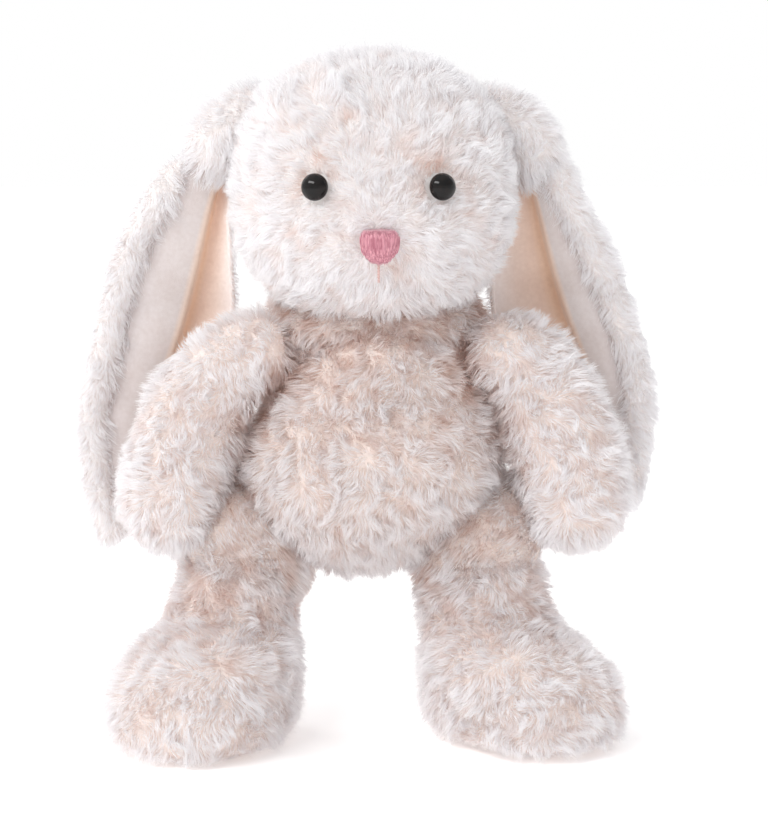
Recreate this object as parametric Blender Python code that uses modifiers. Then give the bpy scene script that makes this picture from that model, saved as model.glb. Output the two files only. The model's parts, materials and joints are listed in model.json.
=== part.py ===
"""Lop-eared plush bunny, standing on its feet and facing -Y, in metres with +Z up.

The toy is sewn like the real one: fur panels close round each stuffing, the ears are
furred outside and lined inside, and every limb, ear and the head is a bag of its own,
stitched shut where it meets the body. "Left" and "right" are the bunny's own sides, so
its left is at +X.
"""

import math

import bmesh
import bpy
from mathutils import Matrix, Vector

# Cloth, metres
FUR_CLOTH = 0.003  # backing and flattened pile of a fur panel
EAR_FUR_CLOTH = 0.0055  # the ear's fur side, with a little wadding
LINING_CLOTH = 0.0014
SEAM_GAP = 0.0005  # between two panels that are sewn together
STUFFING_GAP = 0.0011  # between a panel's inner side and the stuffing
THREAD = 0.0006  # radius of a closing thread

# Head: a squarish ball with a low muzzle
HEAD_CENTRE = Vector((0.0, -0.003, 0.253))
HEAD_HALF = Vector((0.0635, 0.057, 0.060))
HEAD_POWER = 2.35
HEAD_TURN = math.radians(2.5)  # looks a little to its left
MUZZLE_RISE = 0.007
MUZZLE_DROP = 0.020  # how far its middle lies below the head's middle
MUZZLE_WIDE = 0.030
MUZZLE_HIGH = 0.022
GUSSET_HALF = 0.019  # half width of the strip from the chin over the head to the nape
NECK_OPENING = 0.023
CHEEK_OPENING = math.radians(4)

# Torso: a pear, narrow at the neck
TORSO_MIDDLE = 0.122  # height of its widest ring
TORSO_HALF_WIDTH = 0.060
TORSO_HALF_DEPTH = 0.048
TORSO_UP = 0.084
TORSO_DOWN = 0.047
TORSO_POWER = 1.6
TORSO_ROUND = 2.2
NECK_LATITUDE = math.radians(56)
SEAT_LATITUDE = math.radians(-84)
LEAN_LOW = -0.005  # sideways place of the seat
LEAN_HIGH = 0.005  # and of the neck
NECK_PIVOT = Vector((0.004, 0.002, 0.187))

# Arms: sausages that start sideways at the shoulder and hang down
SHOULDER = {"left": Vector((0.059, -0.014, 0.181)), "right": Vector((-0.0515, -0.014, 0.181))}
HAND_REACH = {"left": 0.0345, "right": 0.0415}  # sideways, from shoulder to hand
ARM_COURSE = ((0.0, 0.0), (0.34, -0.005), (0.66, -0.020), (0.90, -0.043), (1.0, -0.070))
ARM_RADII = ((0.0168,), (0.0176,), (0.0190,), (0.0220,), (0.0232,))
ARM_FLATNESS = 0.96

# Legs: round, fanned at the top so that they meet the seat on a slope
CROTCH = Vector((0.026, 0.0, 0.0755))  # from the seat's middle line
THIGH_INNER = 0.0015
THIGH_OUTER = ((0.0570,), (0.0535,), (0.0495,), (0.0465,))
THIGH_HALF_DEPTH = 0.027
THIGH_SLOPE = math.radians(45)
ANKLE = {"left": Vector((0.052, 0.005, 0.0)), "right": Vector((-0.065, -0.001, 0.0))}
SPLAY = {"left": math.radians(34), "right": math.radians(20)}
# Height, half width, heel and toe of each section of the foot, up to the thigh
FOOT_SECTIONS = (
    (0.0008, 0.0340, 0.0190, -0.0680),
    (0.0070, 0.0378, 0.0225, -0.0725),
    (0.0200, 0.0392, 0.0240, -0.0740),
    (0.0330, 0.0370, 0.0245, -0.0690),
    (0.0430, 0.0330, 0.0255, -0.0570),
    (0.0500, 0.0300, 0.0265, -0.0400),
    (0.0590, 0.0282, 0.0270, -0.0290),
    (0.0700, 0.0278, 0.0270, -0.0270),
)
SOLE_THICK = 0.003
HIP_FOLD = Vector((0.0, -0.040, 0.102))  # the line that a leg folds up about

# Ears: long sheets folded lengthwise, closed at the root and open below it
EAR_PIVOT = {"left": Vector((0.051, 0.006, 0.296)), "right": Vector((-0.051, 0.006, 0.296))}
EAR_LENGTH_SCALE = {"left": 0.94, "right": 1.03}
# Sideways, back and down from the pivot, along the fold
EAR_FOLD = (
    (0.0090, 0.000, 0.0010),
    (0.0205, 0.000, 0.0060),
    (0.0285, 0.002, 0.0210),
    (0.0340, 0.006, 0.0430),
    (0.0390, 0.010, 0.0680),
    (0.0460, 0.012, 0.0950),
    (0.0530, 0.013, 0.1210),
    (0.0580, 0.014, 0.1480),
    (0.0600, 0.014, 0.1740),
    (0.0590, 0.014, 0.1970),
)
# Width of the outer wing, width of the inner wall, and how far the wing has opened (0 to 1)
EAR_WIDTHS = (
    (0.0080, 0.0075, 0.00),
    (0.0135, 0.0105, 0.00),
    (0.0190, 0.0140, 0.06),
    (0.0210, 0.0185, 0.75),
    (0.0205, 0.0240, 0.97),
    (0.0210, 0.0310, 1.00),
    (0.0215, 0.0350, 1.00),
    (0.0215, 0.0355, 1.00),
    (0.0190, 0.0300, 1.00),
    (0.0080, 0.0100, 1.00),
)
EAR_DISH = 0.009  # depth of the hollow of the inner wall

# Tail, eyes, nose and mouth
TAIL_CENTRE = Vector((-0.003, 0.0565, 0.099))
TAIL_RADIUS = 0.0158
EYE_RADIUS = 0.0060
EYE_HEIGHT = 0.0048
EYE_STEM_RADIUS = 0.0020
EYE_STEM_LENGTH = 0.0105
EYE_WASHER_RADIUS = 0.0065
EYE_SPREAD = 0.0276
EYE_ABOVE_CENTRE = 0.003
NOSE_BELOW_CENTRE = 0.022
NOSE_HALF_WIDTH = 0.0100
NOSE_HALF_HEIGHT = 0.0078
NOSE_THICK = 0.0024
NOSE_RIM = 0.0008
NOSE_STAND_OFF = 0.0004
MOUTH_LENGTH = 0.0100
MOUTH_STITCH_RADIUS = 0.0006
MOUTH_STAND_OFF = 0.0007
WASHER_THICK = 0.0014
WASHER_BEHIND_CLOTH = 0.0016
STEM_PLAY = 0.0003  # round the stem, to the washer and to the cloth
LABEL_SIZE = (0.0007, 0.0100, 0.0140)
LABEL_LATITUDE = math.radians(-14)
LABEL_ROUND = math.radians(62)
LABEL_STAND_OFF = 0.0027

# Steps of the meshes
AROUND = 24
ARM_AROUND = 16
LEG_AROUND = 20
TAIL_AROUND = 14
RING_STEPS = 12
RING_SIDES = 4
TURNED_STEPS = 16
FAR = 0.2  # beyond every side of the toy
SIDES = (("left", 1), ("right", -1))


def cleared_collections():
    """Empties the scene and returns the collections for the parts and for the cutters."""
    for old in list(bpy.data.objects):
        bpy.data.objects.remove(old)
    parts = bpy.data.collections.new("plush_bunny")
    cutters = bpy.data.collections.new("cutters")
    cutters.hide_render = True
    for collection in (parts, cutters):
        bpy.context.scene.collection.children.link(collection)
    return parts, cutters


PARTS, CUTTERS = cleared_collections()


def material(name, colour, roughness, metallic=0.0):
    made = bpy.data.materials.new(name)
    made.use_nodes = True
    shader = made.node_tree.nodes["Principled BSDF"]
    shader.inputs["Base Color"].default_value = (*colour, 1.0)
    shader.inputs["Roughness"].default_value = roughness
    shader.inputs["Metallic"].default_value = metallic
    return made


CREAM_FUR = material("cream_fur", (0.86, 0.81, 0.77), 0.95)
EAR_VELOUR = material("ear_velour", (0.88, 0.80, 0.74), 0.85)
POLYESTER = material("polyester_fibre", (0.93, 0.93, 0.92), 1.0)
BLACK_EYE = material("black_eye", (0.012, 0.010, 0.010), 0.08)
WASHER_PLASTIC = material("washer_plastic", (0.82, 0.82, 0.80), 0.45)
NOSE_THREAD = material("nose_thread", (0.78, 0.36, 0.42), 0.45)
SEWING_THREAD = material("sewing_thread", (0.90, 0.86, 0.82), 0.60)
LABEL_SATIN = material("label_satin", (0.94, 0.94, 0.93), 0.40)


def placed(name, mesh, surface, collection=None):
    made = bpy.data.objects.new(name, mesh)
    (collection or PARTS).objects.link(made)
    if surface and not mesh.materials:
        mesh.materials.append(surface)
    return made


def rounded(angle, power):
    """A point of the unit superellipse: power 2 is a circle, and more is squarer."""
    c = math.cos(angle)
    s = math.sin(angle)
    reach = (abs(c) ** power + abs(s) ** power) ** (-1 / power)
    return reach * c, reach * s


def through(rows, share):
    """A smooth course through rows of numbers, at a share from 0 to 1 of the way."""
    last = len(rows) - 1
    place = min(max(share, 0.0), 1.0) * last
    at = min(int(place), last - 1)
    t = place - at
    four = [rows[min(max(at + k, 0), last)] for k in (-1, 0, 1, 2)]
    return [
        0.5 * (2 * b + (c - a) * t + (2 * a - 5 * b + 4 * c - d) * t * t + (3 * b - a - 3 * c + d) * t**3)
        for a, b, c, d in zip(*four)
    ]


def steps(low, high, count):
    return [low + (high - low) * k / count for k in range(count + 1)]


def eased_steps(low, high, count):
    """Steps that lie closer together at both ends."""
    return [low + (high - low) * (1 - math.cos(math.pi * k / count)) / 2 for k in range(count + 1)]


def grid_mesh(name, point, along, around, closed=False, capped=False):
    """A sheet of quads over two lists of parameters, closed round or not, with flat ends or open."""
    mesh = bpy.data.meshes.new(name)
    shape = bmesh.new()
    columns = around[:-1] if closed else around
    rows = [[shape.verts.new(point(u, v)) for v in columns] for u in along]
    wide = len(columns)
    for low, high in zip(rows, rows[1:]):
        for k in range(wide if closed else wide - 1):
            after = (k + 1) % wide
            shape.faces.new((low[k], low[after], high[after], high[k]))
    if capped:
        shape.faces.new(rows[0])
        shape.faces.new(rows[-1])
        bmesh.ops.recalc_face_normals(shape, faces=shape.faces)
    shape.normal_update()
    shape.to_mesh(mesh)
    shape.free()
    mesh.shade_smooth()
    return mesh


def turned_outward(mesh, middle):
    """Turns the sheet's faces so that they look away from a point inside it."""
    looks = sum((face.center - middle).dot(face.normal) for face in mesh.polygons)
    if looks < 0:
        mesh.flip_normals()
    return mesh


def thickened(made, thickness, offset=-1.0):
    solidify = made.modifiers.new("cloth", "SOLIDIFY")
    solidify.thickness = thickness
    solidify.offset = offset
    return made


def seam_box(name, low, high, middle, turn=0.0):
    """A box between two corners measured from middle, turned about Z: one side of a seam."""
    mesh = bpy.data.meshes.new(name)
    shape = bmesh.new()
    bmesh.ops.create_cube(shape, size=1.0)
    size = Vector(high) - Vector(low)
    bmesh.ops.scale(shape, vec=size, verts=shape.verts)
    bmesh.ops.translate(shape, vec=(Vector(low) + Vector(high)) / 2, verts=shape.verts)
    shape.to_mesh(mesh)
    shape.free()
    box = hidden(placed(name, mesh, None, CUTTERS))
    box.location = middle
    box.rotation_euler = (0.0, 0.0, turn)
    return box


def panels(bag, named_boxes, mesh, middle):
    """Cuts a bag's shell into its panels, one for each box. The backing lies inside the surface."""
    turned_outward(mesh, middle)
    made = {}
    for name, low, high, turn in named_boxes:
        whole = thickened(placed(f"{bag}_{name}_panel", mesh, CREAM_FUR), FUR_CLOTH)
        box = seam_box(f"{bag}_{name}_side", low, high, middle, turn)
        cut(whole, box, "INTERSECT")
        made[name] = whole
    return made


def front_and_back():
    """The two sides of a seam that runs round a bag in the XZ plane of its middle."""
    half = SEAM_GAP / 2
    return (
        ("front", (-FAR, -FAR, -FAR), (FAR, -half, FAR), 0.0),
        ("back", (-FAR, half, -FAR), (FAR, FAR, FAR), 0.0),
    )


def stuffing(name, point, along, around, inset=FUR_CLOTH + STUFFING_GAP):
    """The fibre inside a bag: the same surface, moved inwards."""
    mesh = grid_mesh(name, point, along, around, closed=True, capped=True)
    shape = bmesh.new()
    shape.from_mesh(mesh)
    shape.normal_update()
    moved = [(vert, vert.co - vert.normal * inset) for vert in shape.verts]
    for vert, place in moved:
        vert.co = place
    shape.to_mesh(mesh)
    shape.free()
    return placed(name, mesh, POLYESTER)


def cut(made, cutter, operation="DIFFERENCE"):
    boolean = made.modifiers.new("cut_" + cutter.name, "BOOLEAN")
    boolean.operation = operation
    boolean.object = cutter


def hidden(cutter):
    cutter.hide_render = True
    cutter.display_type = "WIRE"
    return cutter


def turn_of(count):
    """The angles of a whole turn, with its first one again at the end."""
    return [math.tau * k / count for k in range(count + 1)]


def ring(name, place, across, radius):
    """A loop of thread round the direction across."""
    mesh = bpy.data.meshes.new(name)
    shape = bmesh.new()
    rows = []
    for turn in turn_of(RING_STEPS)[:-1]:
        outward = Vector((math.cos(turn), math.sin(turn), 0.0))
        strand = []
        for side in turn_of(RING_SIDES)[:-1]:
            off = outward * math.cos(side) + Vector((0.0, 0.0, math.sin(side)))
            strand.append(shape.verts.new(outward * radius + off * THREAD))
        rows.append(strand)
    for here, there in zip(rows, rows[1:] + rows[:1]):
        for n in range(RING_SIDES):
            after = (n + 1) % RING_SIDES
            shape.faces.new((here[n], there[n], there[after], here[after]))
    bmesh.ops.recalc_face_normals(shape, faces=shape.faces)
    shape.to_mesh(mesh)
    shape.free()
    made = placed(name, mesh, SEWING_THREAD)
    made.location = place
    made.rotation_euler = across.to_track_quat("Z", "Y").to_euler()
    return made


# --- Head -----------------------------------------------------------------------------


def head_surface(direction):
    """Where a ray from the head's middle leaves the head."""
    power = HEAD_POWER
    spread = sum(abs(direction[k] / HEAD_HALF[k]) ** power for k in range(3))
    place = direction * spread ** (-1 / power)
    if place.y < 0:
        near = (place.x / MUZZLE_WIDE) ** 2 + ((place.z + MUZZLE_DROP) / MUZZLE_HIGH) ** 2
        place.y -= MUZZLE_RISE * math.exp(-near)
    return HEAD_CENTRE + Matrix.Rotation(HEAD_TURN, 3, "Z") @ place


def head_point(from_side, round_side):
    """The head from its left cheek (0) to its right (pi); round_side 0 is the front."""
    across = math.sin(from_side)
    direction = Vector(
        (math.cos(from_side), -across * math.cos(round_side), across * math.sin(round_side))
    )
    return head_surface(direction)


def on_face(sideways, up):
    """A place on the face, and the way that it looks, from its place before the head's middle."""

    def front(x, z):
        direction = Vector((x, -HEAD_HALF.y, z))
        for _ in range(8):
            place = Matrix.Rotation(-HEAD_TURN, 3, "Z") @ (head_surface(direction) - HEAD_CENTRE)
            direction = Vector((x, place.y, z))
        return head_surface(direction)

    small = 0.001
    right = front(sideways + small, up) - front(sideways - small, up)
    upward = front(sideways, up + small) - front(sideways, up - small)
    outward = right.cross(upward).normalized()
    return front(sideways, up), outward


def make_head():
    turn = turn_of(AROUND)
    cheeks = steps(CHEEK_OPENING, math.pi - CHEEK_OPENING, 12)
    mesh = grid_mesh("head_skin", head_point, cheeks, turn, closed=True)
    inner = GUSSET_HALF - SEAM_GAP / 2
    outer = GUSSET_HALF + SEAM_GAP / 2
    sides = (
        ("left", (outer, -FAR, -FAR), (FAR, FAR, FAR), HEAD_TURN),
        ("gusset", (-inner, -FAR, -FAR), (inner, FAR, FAR), HEAD_TURN),
        ("right", (-FAR, -FAR, -FAR), (-outer, FAR, FAR), HEAD_TURN),
    )
    made = panels("head", sides, mesh, HEAD_CENTRE)
    neck = plug(NECK_OPENING, 0.1, above=0.0)
    neck_cutter = hidden(turned("neck_opening", neck, None, CUTTERS))
    neck_cutter.location = HEAD_CENTRE
    for one in made.values():
        cut(one, neck_cutter)
    inside = steps(math.radians(5), math.pi - math.radians(5), 12)
    fibre = stuffing("head_stuffing", head_point, inside, turn)
    ring("neck_closing_thread", NECK_PIVOT + Vector((0, 0.001, -0.0035)), Vector((0, 0, 1)), 0.017)
    for side, sign in SIDES:
        make_eye(side, sign, made[side], fibre)
    make_nose()


def turned(name, profile, surface, collection=None):
    """A Screw about Z of a profile of (radius, height) that runs from top to bottom."""
    mesh = bpy.data.meshes.new(name)
    edges = [(k, k + 1) for k in range(len(profile) - 1)]
    mesh.from_pydata([(r, 0.0, z) for r, z in profile], edges, [])
    made = placed(name, mesh, surface, collection)
    screw = made.modifiers.new("turn", "SCREW")
    screw.steps = TURNED_STEPS
    screw.render_steps = TURNED_STEPS
    screw.use_merge_vertices = True
    screw.merge_threshold = 0.00001
    return made


def plug(radius, depth, above=0.004):
    """The profile of a round cutter that reaches down to a depth."""
    return [(0.0, above), (radius, above), (radius, -depth), (0.0, -depth)]


def make_eye(side, sign, cheek, fibre):
    place, outward = on_face(sign * EYE_SPREAD, EYE_ABOVE_CENTRE)
    stand = Matrix.Translation(place) @ outward.to_track_quat("Z", "Y").to_matrix().to_4x4()
    base = 0.0003
    bulge = [math.radians(a) for a in (90, 68, 46, 24, 0)]
    dome = [(EYE_RADIUS * math.cos(a), base + EYE_HEIGHT * math.sin(a)) for a in bulge]
    dome[0] = (0.0, dome[0][1])
    stem = [(EYE_STEM_RADIUS, base), (EYE_STEM_RADIUS, -EYE_STEM_LENGTH), (0.0, -EYE_STEM_LENGTH)]
    eye = turned(f"eye_{side}", dome + stem, BLACK_EYE)
    back = -FUR_CLOTH - WASHER_BEHIND_CLOTH
    inner = EYE_STEM_RADIUS + STEM_PLAY
    washer_profile = [
        (inner, back),
        (EYE_WASHER_RADIUS, back),
        (EYE_WASHER_RADIUS, back - WASHER_THICK),
        (inner, back - WASHER_THICK),
        (inner, back),
    ]
    washer = turned(f"eye_{side}_washer", washer_profile, WASHER_PLASTIC)
    hole = plug(EYE_STEM_RADIUS + 0.0004, 0.008)
    pocket = plug(EYE_WASHER_RADIUS + 0.001, EYE_STEM_LENGTH + 0.002)
    hole_cutter = hidden(turned(f"eye_{side}_hole", hole, None, CUTTERS))
    pocket_cutter = hidden(turned(f"eye_{side}_pocket", pocket, None, CUTTERS))
    for made in (eye, washer, hole_cutter, pocket_cutter):
        made.matrix_world = stand
    cut(cheek, hole_cutter)
    cut(fibre, pocket_cutter)


def flat_outline(name, outline, thick, rim, surface):
    """A filled outline in its own XY plane, with a rounded rim."""
    curve = bpy.data.curves.new(name, "CURVE")
    curve.dimensions = "2D"
    curve.fill_mode = "BOTH"
    curve.extrude = thick / 2 - rim
    curve.bevel_depth = rim
    curve.bevel_resolution = 1
    curve.offset = -rim
    spline = curve.splines.new("POLY")
    spline.points.add(len(outline) - 1)
    for point, (x, y) in zip(spline.points, outline):
        point.co = (x, y, 0.0, 1.0)
    spline.use_cyclic_u = True
    return placed(name, curve, surface)


def nose_outline():
    """A shield: broad and nearly flat on top, narrower and round below."""
    outline = []
    for k in range(20):
        x, y = rounded(math.tau * k / 20, 2.6)
        narrow = 1.0 - 0.16 * (1 - y)
        outline.append((NOSE_HALF_WIDTH * x * narrow, NOSE_HALF_HEIGHT * y))
    return outline


def make_nose():
    place, outward = on_face(0.0, -NOSE_BELOW_CENTRE)
    nose = flat_outline("nose_embroidery", nose_outline(), NOSE_THICK, NOSE_RIM, NOSE_THREAD)
    up = Vector((0, 0, 1))
    across = up.cross(outward).normalized()
    frame = Matrix((across, outward.cross(across), outward)).transposed().to_4x4()
    nose.matrix_world = Matrix.Translation(place + outward * (NOSE_THICK / 2 + NOSE_STAND_OFF)) @ frame
    low = -NOSE_BELOW_CENTRE - NOSE_HALF_HEIGHT - 0.001
    curve = bpy.data.curves.new("mouth_stitch", "CURVE")
    curve.dimensions = "3D"
    curve.bevel_depth = MOUTH_STITCH_RADIUS
    curve.bevel_resolution = 1
    curve.use_fill_caps = True
    spline = curve.splines.new("POLY")
    drops = steps(0.0, MOUTH_LENGTH, 5)
    spline.points.add(len(drops) - 1)
    for point, drop in zip(spline.points, drops):
        spot, outward = on_face(0.0, low - drop)
        point.co = (*(spot + outward * MOUTH_STAND_OFF), 1.0)
    placed("mouth_stitch", curve, NOSE_THREAD)


# --- Torso ----------------------------------------------------------------------------


def lean(height):
    """Sideways place of the torso's middle line."""
    return LEAN_LOW + (LEAN_HIGH - LEAN_LOW) * (height - 0.085) / 0.100


def torso_point(latitude, around):
    """Around 0 is the left side, and a quarter turn back from it is the belly."""
    wide, up = rounded(latitude, TORSO_POWER)
    height = TORSO_MIDDLE + up * (TORSO_UP if up > 0 else TORSO_DOWN)
    x, y = rounded(around, TORSO_ROUND)
    return Vector(
        (lean(height) + TORSO_HALF_WIDTH * wide * x, TORSO_HALF_DEPTH * wide * y, height)
    )


def make_torso():
    middle = Vector((0, 0, TORSO_MIDDLE))
    turn = turn_of(AROUND)
    up = steps(SEAT_LATITUDE, NECK_LATITUDE, 11)
    mesh = grid_mesh("body_skin", torso_point, up, turn, closed=True)
    panels("body", front_and_back(), mesh, middle)
    inside = steps(math.radians(-82), math.radians(52), 10)
    stuffing("body_stuffing", torso_point, inside, turn)


# --- Arms -----------------------------------------------------------------------------


def sausage(course, radius_at, flatness):
    """A closed tube along a course in an XZ plane, with a round cap at each end.

    Returns a function of the share along it (0 to 1) and of the angle round it.
    """
    count = 40
    spots = [course(k / count) for k in range(count + 1)]
    first = (spots[1] - spots[0]).normalized()
    final = (spots[-1] - spots[-2]).normalized()
    start_cap = radius_at(0.0)
    end_cap = radius_at(1.0)
    run = sum((b - a).length for a, b in zip(spots, spots[1:]))
    whole = start_cap + run + end_cap

    def point(share, around):
        reach = share * whole
        if reach < start_cap:
            centre = spots[0] - first * (start_cap - reach)
            tangent = first
            radius = math.sqrt(max(start_cap**2 - (start_cap - reach) ** 2, 0.0))
        elif reach > start_cap + run:
            past = reach - start_cap - run
            centre = spots[-1] + final * past
            tangent = final
            radius = math.sqrt(max(end_cap**2 - past**2, 0.0))
        else:
            t = (reach - start_cap) / run
            centre = course(t)
            tangent = (course(min(t + 0.04, 1.0)) - course(max(t - 0.04, 0.0))).normalized()
            radius = radius_at(t)
        across = Vector((tangent.z, 0.0, -tangent.x))
        return centre + across * (radius * math.cos(around)) + Vector(
            (0.0, flatness * radius * math.sin(around), 0.0)
        )

    return point


def arm_surface(side, sign):
    shoulder = SHOULDER[side]

    def course(share):
        out, drop = through(ARM_COURSE, share)
        return shoulder + Vector((sign * out * HAND_REACH[side], 0.0, drop))

    return sausage(course, lambda share: through(ARM_RADII, share)[0], ARM_FLATNESS)


def make_arm(side, sign):
    point = arm_surface(side, sign)
    around = turn_of(ARM_AROUND)
    along = eased_steps(0.012, 0.995, 12)
    mesh = grid_mesh(f"arm_{side}_skin", point, along, around, closed=True)
    middle = SHOULDER[side] + Vector((sign * 0.025, 0.0, -0.025))
    panels(f"arm_{side}", front_and_back(), mesh, middle)
    stuffing(f"arm_{side}_stuffing", point, eased_steps(0.05, 0.985, 9), around)
    opening = point(0.012, 0.0) + (point(0.012, math.pi) - point(0.012, 0.0)) / 2
    ring(f"arm_{side}_closing_thread", opening, Vector((1, 0, 0.3 * -sign)), 0.0022)


# --- Legs -----------------------------------------------------------------------------


def leg_surface(side, sign):
    """Share 0 is the sole, 0.62 the top of the foot's sections, and 1 the slope at the seat."""
    ankle = ANKLE[side]
    splay = sign * SPLAY[side]
    fan_start = 0.62
    crotch = Vector((LEAN_LOW + sign * CROTCH.x, 0.0, CROTCH.z))
    top_height = FOOT_SECTIONS[-1][0]
    knee = crotch.x + sign * (THIGH_OUTER[0][0] + THIGH_INNER) / 2

    def point(share, around):
        x, y = rounded(around, 2.25)
        if share <= fan_start:
            part = share / fan_start
            height, half, heel, toe = through(FOOT_SECTIONS, part)
            upward = (height / top_height) ** 1.6
            centre_x = ankle.x + (knee - ankle.x) * upward
            centre_y = ankle.y * (1 - upward)
            turn = splay * (1 - upward)
            length = (heel - toe) / 2
            local = Vector((half * x, length * y + (heel + toe) / 2, 0.0))
            return Matrix.Rotation(turn, 3, "Z") @ local + Vector((centre_x, centre_y, height))
        part = (share - fan_start) / (1 - fan_start)
        tilt = THIGH_SLOPE * part
        outer = through(THIGH_OUTER, part)[0]
        inner = THIGH_INNER
        reach = (outer + inner) / 2 + (outer - inner) / 2 * x * sign
        depth = THIGH_HALF_DEPTH * (1 - 0.16 * part * part)
        drop = (1 - part) * (CROTCH.z - top_height)
        return crotch + Vector(
            (sign * reach * math.cos(tilt), depth * y, reach * math.sin(tilt) - drop)
        )

    return point


def make_leg(side, sign):
    point = leg_surface(side, sign)
    foot_steps = [0.0, 0.05, 0.11, 0.20, 0.29, 0.37, 0.44, 0.52, 0.62]
    thigh_steps = [0.70, 0.79, 0.88, 0.95, 1.0]
    around = turn_of(LEG_AROUND)
    mesh = grid_mesh(f"leg_{side}_skin", point, foot_steps + thigh_steps, around, closed=True)
    half = SEAM_GAP / 2
    toward_left = ((half, -FAR, -FAR), (FAR, FAR, FAR), sign * SPLAY[side] / 2)
    toward_right = ((-FAR, -FAR, -FAR), (-half, FAR, FAR), sign * SPLAY[side] / 2)
    outer, inner = (toward_left, toward_right) if sign > 0 else (toward_right, toward_left)
    middle = Vector((ANKLE[side].x, -0.010, 0.040))
    panels(f"leg_{side}", (("outer", *outer), ("inner", *inner)), mesh, middle)
    inside = [0.075, 0.14, 0.22, 0.30, 0.38, 0.46, 0.54, 0.62, 0.72, 0.82, 0.92]
    stuffing(f"leg_{side}_stuffing", point, inside, around)
    make_sole(side, point)
    slope = Vector((-sign * math.sin(THIGH_SLOPE), 0.0, math.cos(THIGH_SLOPE)))
    top = sum((point(1.0, math.tau * k / 8) for k in range(8)), Vector()) / 8
    ring(f"leg_{side}_closing_thread", top - slope * 0.0012, slope, 0.014)


def make_sole(side, point):
    """A flat oval inside the leg panels' bottom edge: the face that the bunny stands on."""
    rim = [point(0.0, math.tau * k / 22) for k in range(22)]
    middle = sum(rim, Vector()) / len(rim)
    inset = FUR_CLOTH + 0.0012
    outline = []
    for spot in rim:
        arm = spot - middle
        outline.append((arm.x * (1 - inset / arm.length), arm.y * (1 - inset / arm.length)))
    sole = flat_outline(f"leg_{side}_sole", outline, SOLE_THICK, 0.0004, CREAM_FUR)
    sole.location = (middle.x, middle.y, SOLE_THICK / 2)


# --- Ears -----------------------------------------------------------------------------


def ear_surface(side, sign, forward=0.0):
    """Share 0 is the root and 1 the tip; across -1 is the wing's edge, 0 the fold, 1 the wall's edge.

    forward moves the sheet off itself, towards its lined side.
    """
    pivot = EAR_PIVOT[side]
    scale = EAR_LENGTH_SCALE[side]

    def fold(share):
        out, back, down = through(EAR_FOLD, share)
        return Vector((sign * out, back, -down * scale))

    def sheet(share, across):
        tangent = fold(min(share + 0.02, 1.0)) - fold(max(share - 0.02, 0.0))
        tangent.y = 0.0
        tangent.normalize()
        inward = Vector((sign * tangent.z, 0.0, -sign * tangent.x))
        if inward.x * sign > 0 or (abs(inward.x) < 1e-6 and inward.z > 0):
            inward.negate()
        wing, wall, opened = through(EAR_WIDTHS, share)
        centre = pivot + fold(share)
        if across < 0:
            swing = math.radians(8 + 176 * opened)
            way = inward * math.cos(swing) + Vector((0, -math.sin(swing), 0))
            start = Vector((0, -0.0035 * (1 - opened), 0))
            return centre + start + way * (-across * wing)
        dish = EAR_DISH * math.sin(math.pi * min(across * 0.80, 1.0))
        return centre + inward * (across * wall) + Vector((0, dish, 0))

    def point(share, across):
        here = sheet(share, across)
        if not forward:
            return here
        small = 0.02
        along = sheet(min(share + small, 1.0), across) - sheet(max(share - small, 0.0), across)
        over = sheet(share, min(across + small, 1.0)) - sheet(share, max(across - small, -1.0))
        normal = over.cross(along).normalized() * sign
        return here + normal * forward

    return point


def make_ear(side, sign):
    across = [-1.0, -0.66, -0.33, -0.08, 0.10, 0.30, 0.55, 0.78, 1.0]
    fur_steps = steps(0.0, 1.0, 16)
    mesh = grid_mesh(f"ear_{side}_fur", ear_surface(side, sign), fur_steps, across)
    fur = placed(f"ear_{side}_fur", mesh, CREAM_FUR)
    thickened(fur, sign * -EAR_FUR_CLOTH, 1.0)
    lined = [-0.92, -0.62, -0.33, -0.08, 0.10, 0.30, 0.55, 0.78, 0.97]
    lining_steps = steps(0.38, 0.985, 10)
    surface = ear_surface(side, sign, 0.0008)
    mesh = grid_mesh(f"ear_{side}_lining", surface, lining_steps, lined)
    lining = placed(f"ear_{side}_lining", mesh, EAR_VELOUR)
    thickened(lining, sign * LINING_CLOTH, 1.0)


# --- Tail and label -------------------------------------------------------------------


def make_tail():
    def point(latitude, around):
        ringed = TAIL_RADIUS * math.cos(latitude)
        return TAIL_CENTRE + Vector(
            (ringed * math.cos(around), TAIL_RADIUS * math.sin(latitude), ringed * math.sin(around))
        )

    around = turn_of(TAIL_AROUND)
    up = steps(math.radians(-66), math.radians(84), 6)
    mesh = turned_outward(grid_mesh("tail_cover", point, up, around, closed=True), TAIL_CENTRE)
    thickened(placed("tail_cover", mesh, CREAM_FUR), FUR_CLOTH)
    inside = steps(math.radians(-60), math.radians(76), 5)
    stuffing("tail_stuffing", point, inside, around)


def make_label():
    spot = torso_point(LABEL_LATITUDE, LABEL_ROUND)
    outward = (spot - Vector((LEAN_LOW, 0.0, spot.z))).normalized()
    mesh = bpy.data.meshes.new("care_label")
    shape = bmesh.new()
    bmesh.ops.create_cube(shape, size=1.0)
    bmesh.ops.scale(shape, vec=LABEL_SIZE, verts=shape.verts)
    shape.to_mesh(mesh)
    shape.free()
    label = placed("care_label", mesh, LABEL_SATIN)
    label.location = spot + outward * (LABEL_SIZE[1] / 2 + LABEL_STAND_OFF)
    label.rotation_euler = outward.to_track_quat("Y", "Z").to_euler()


# --- Joints ---------------------------------------------------------------------------


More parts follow.
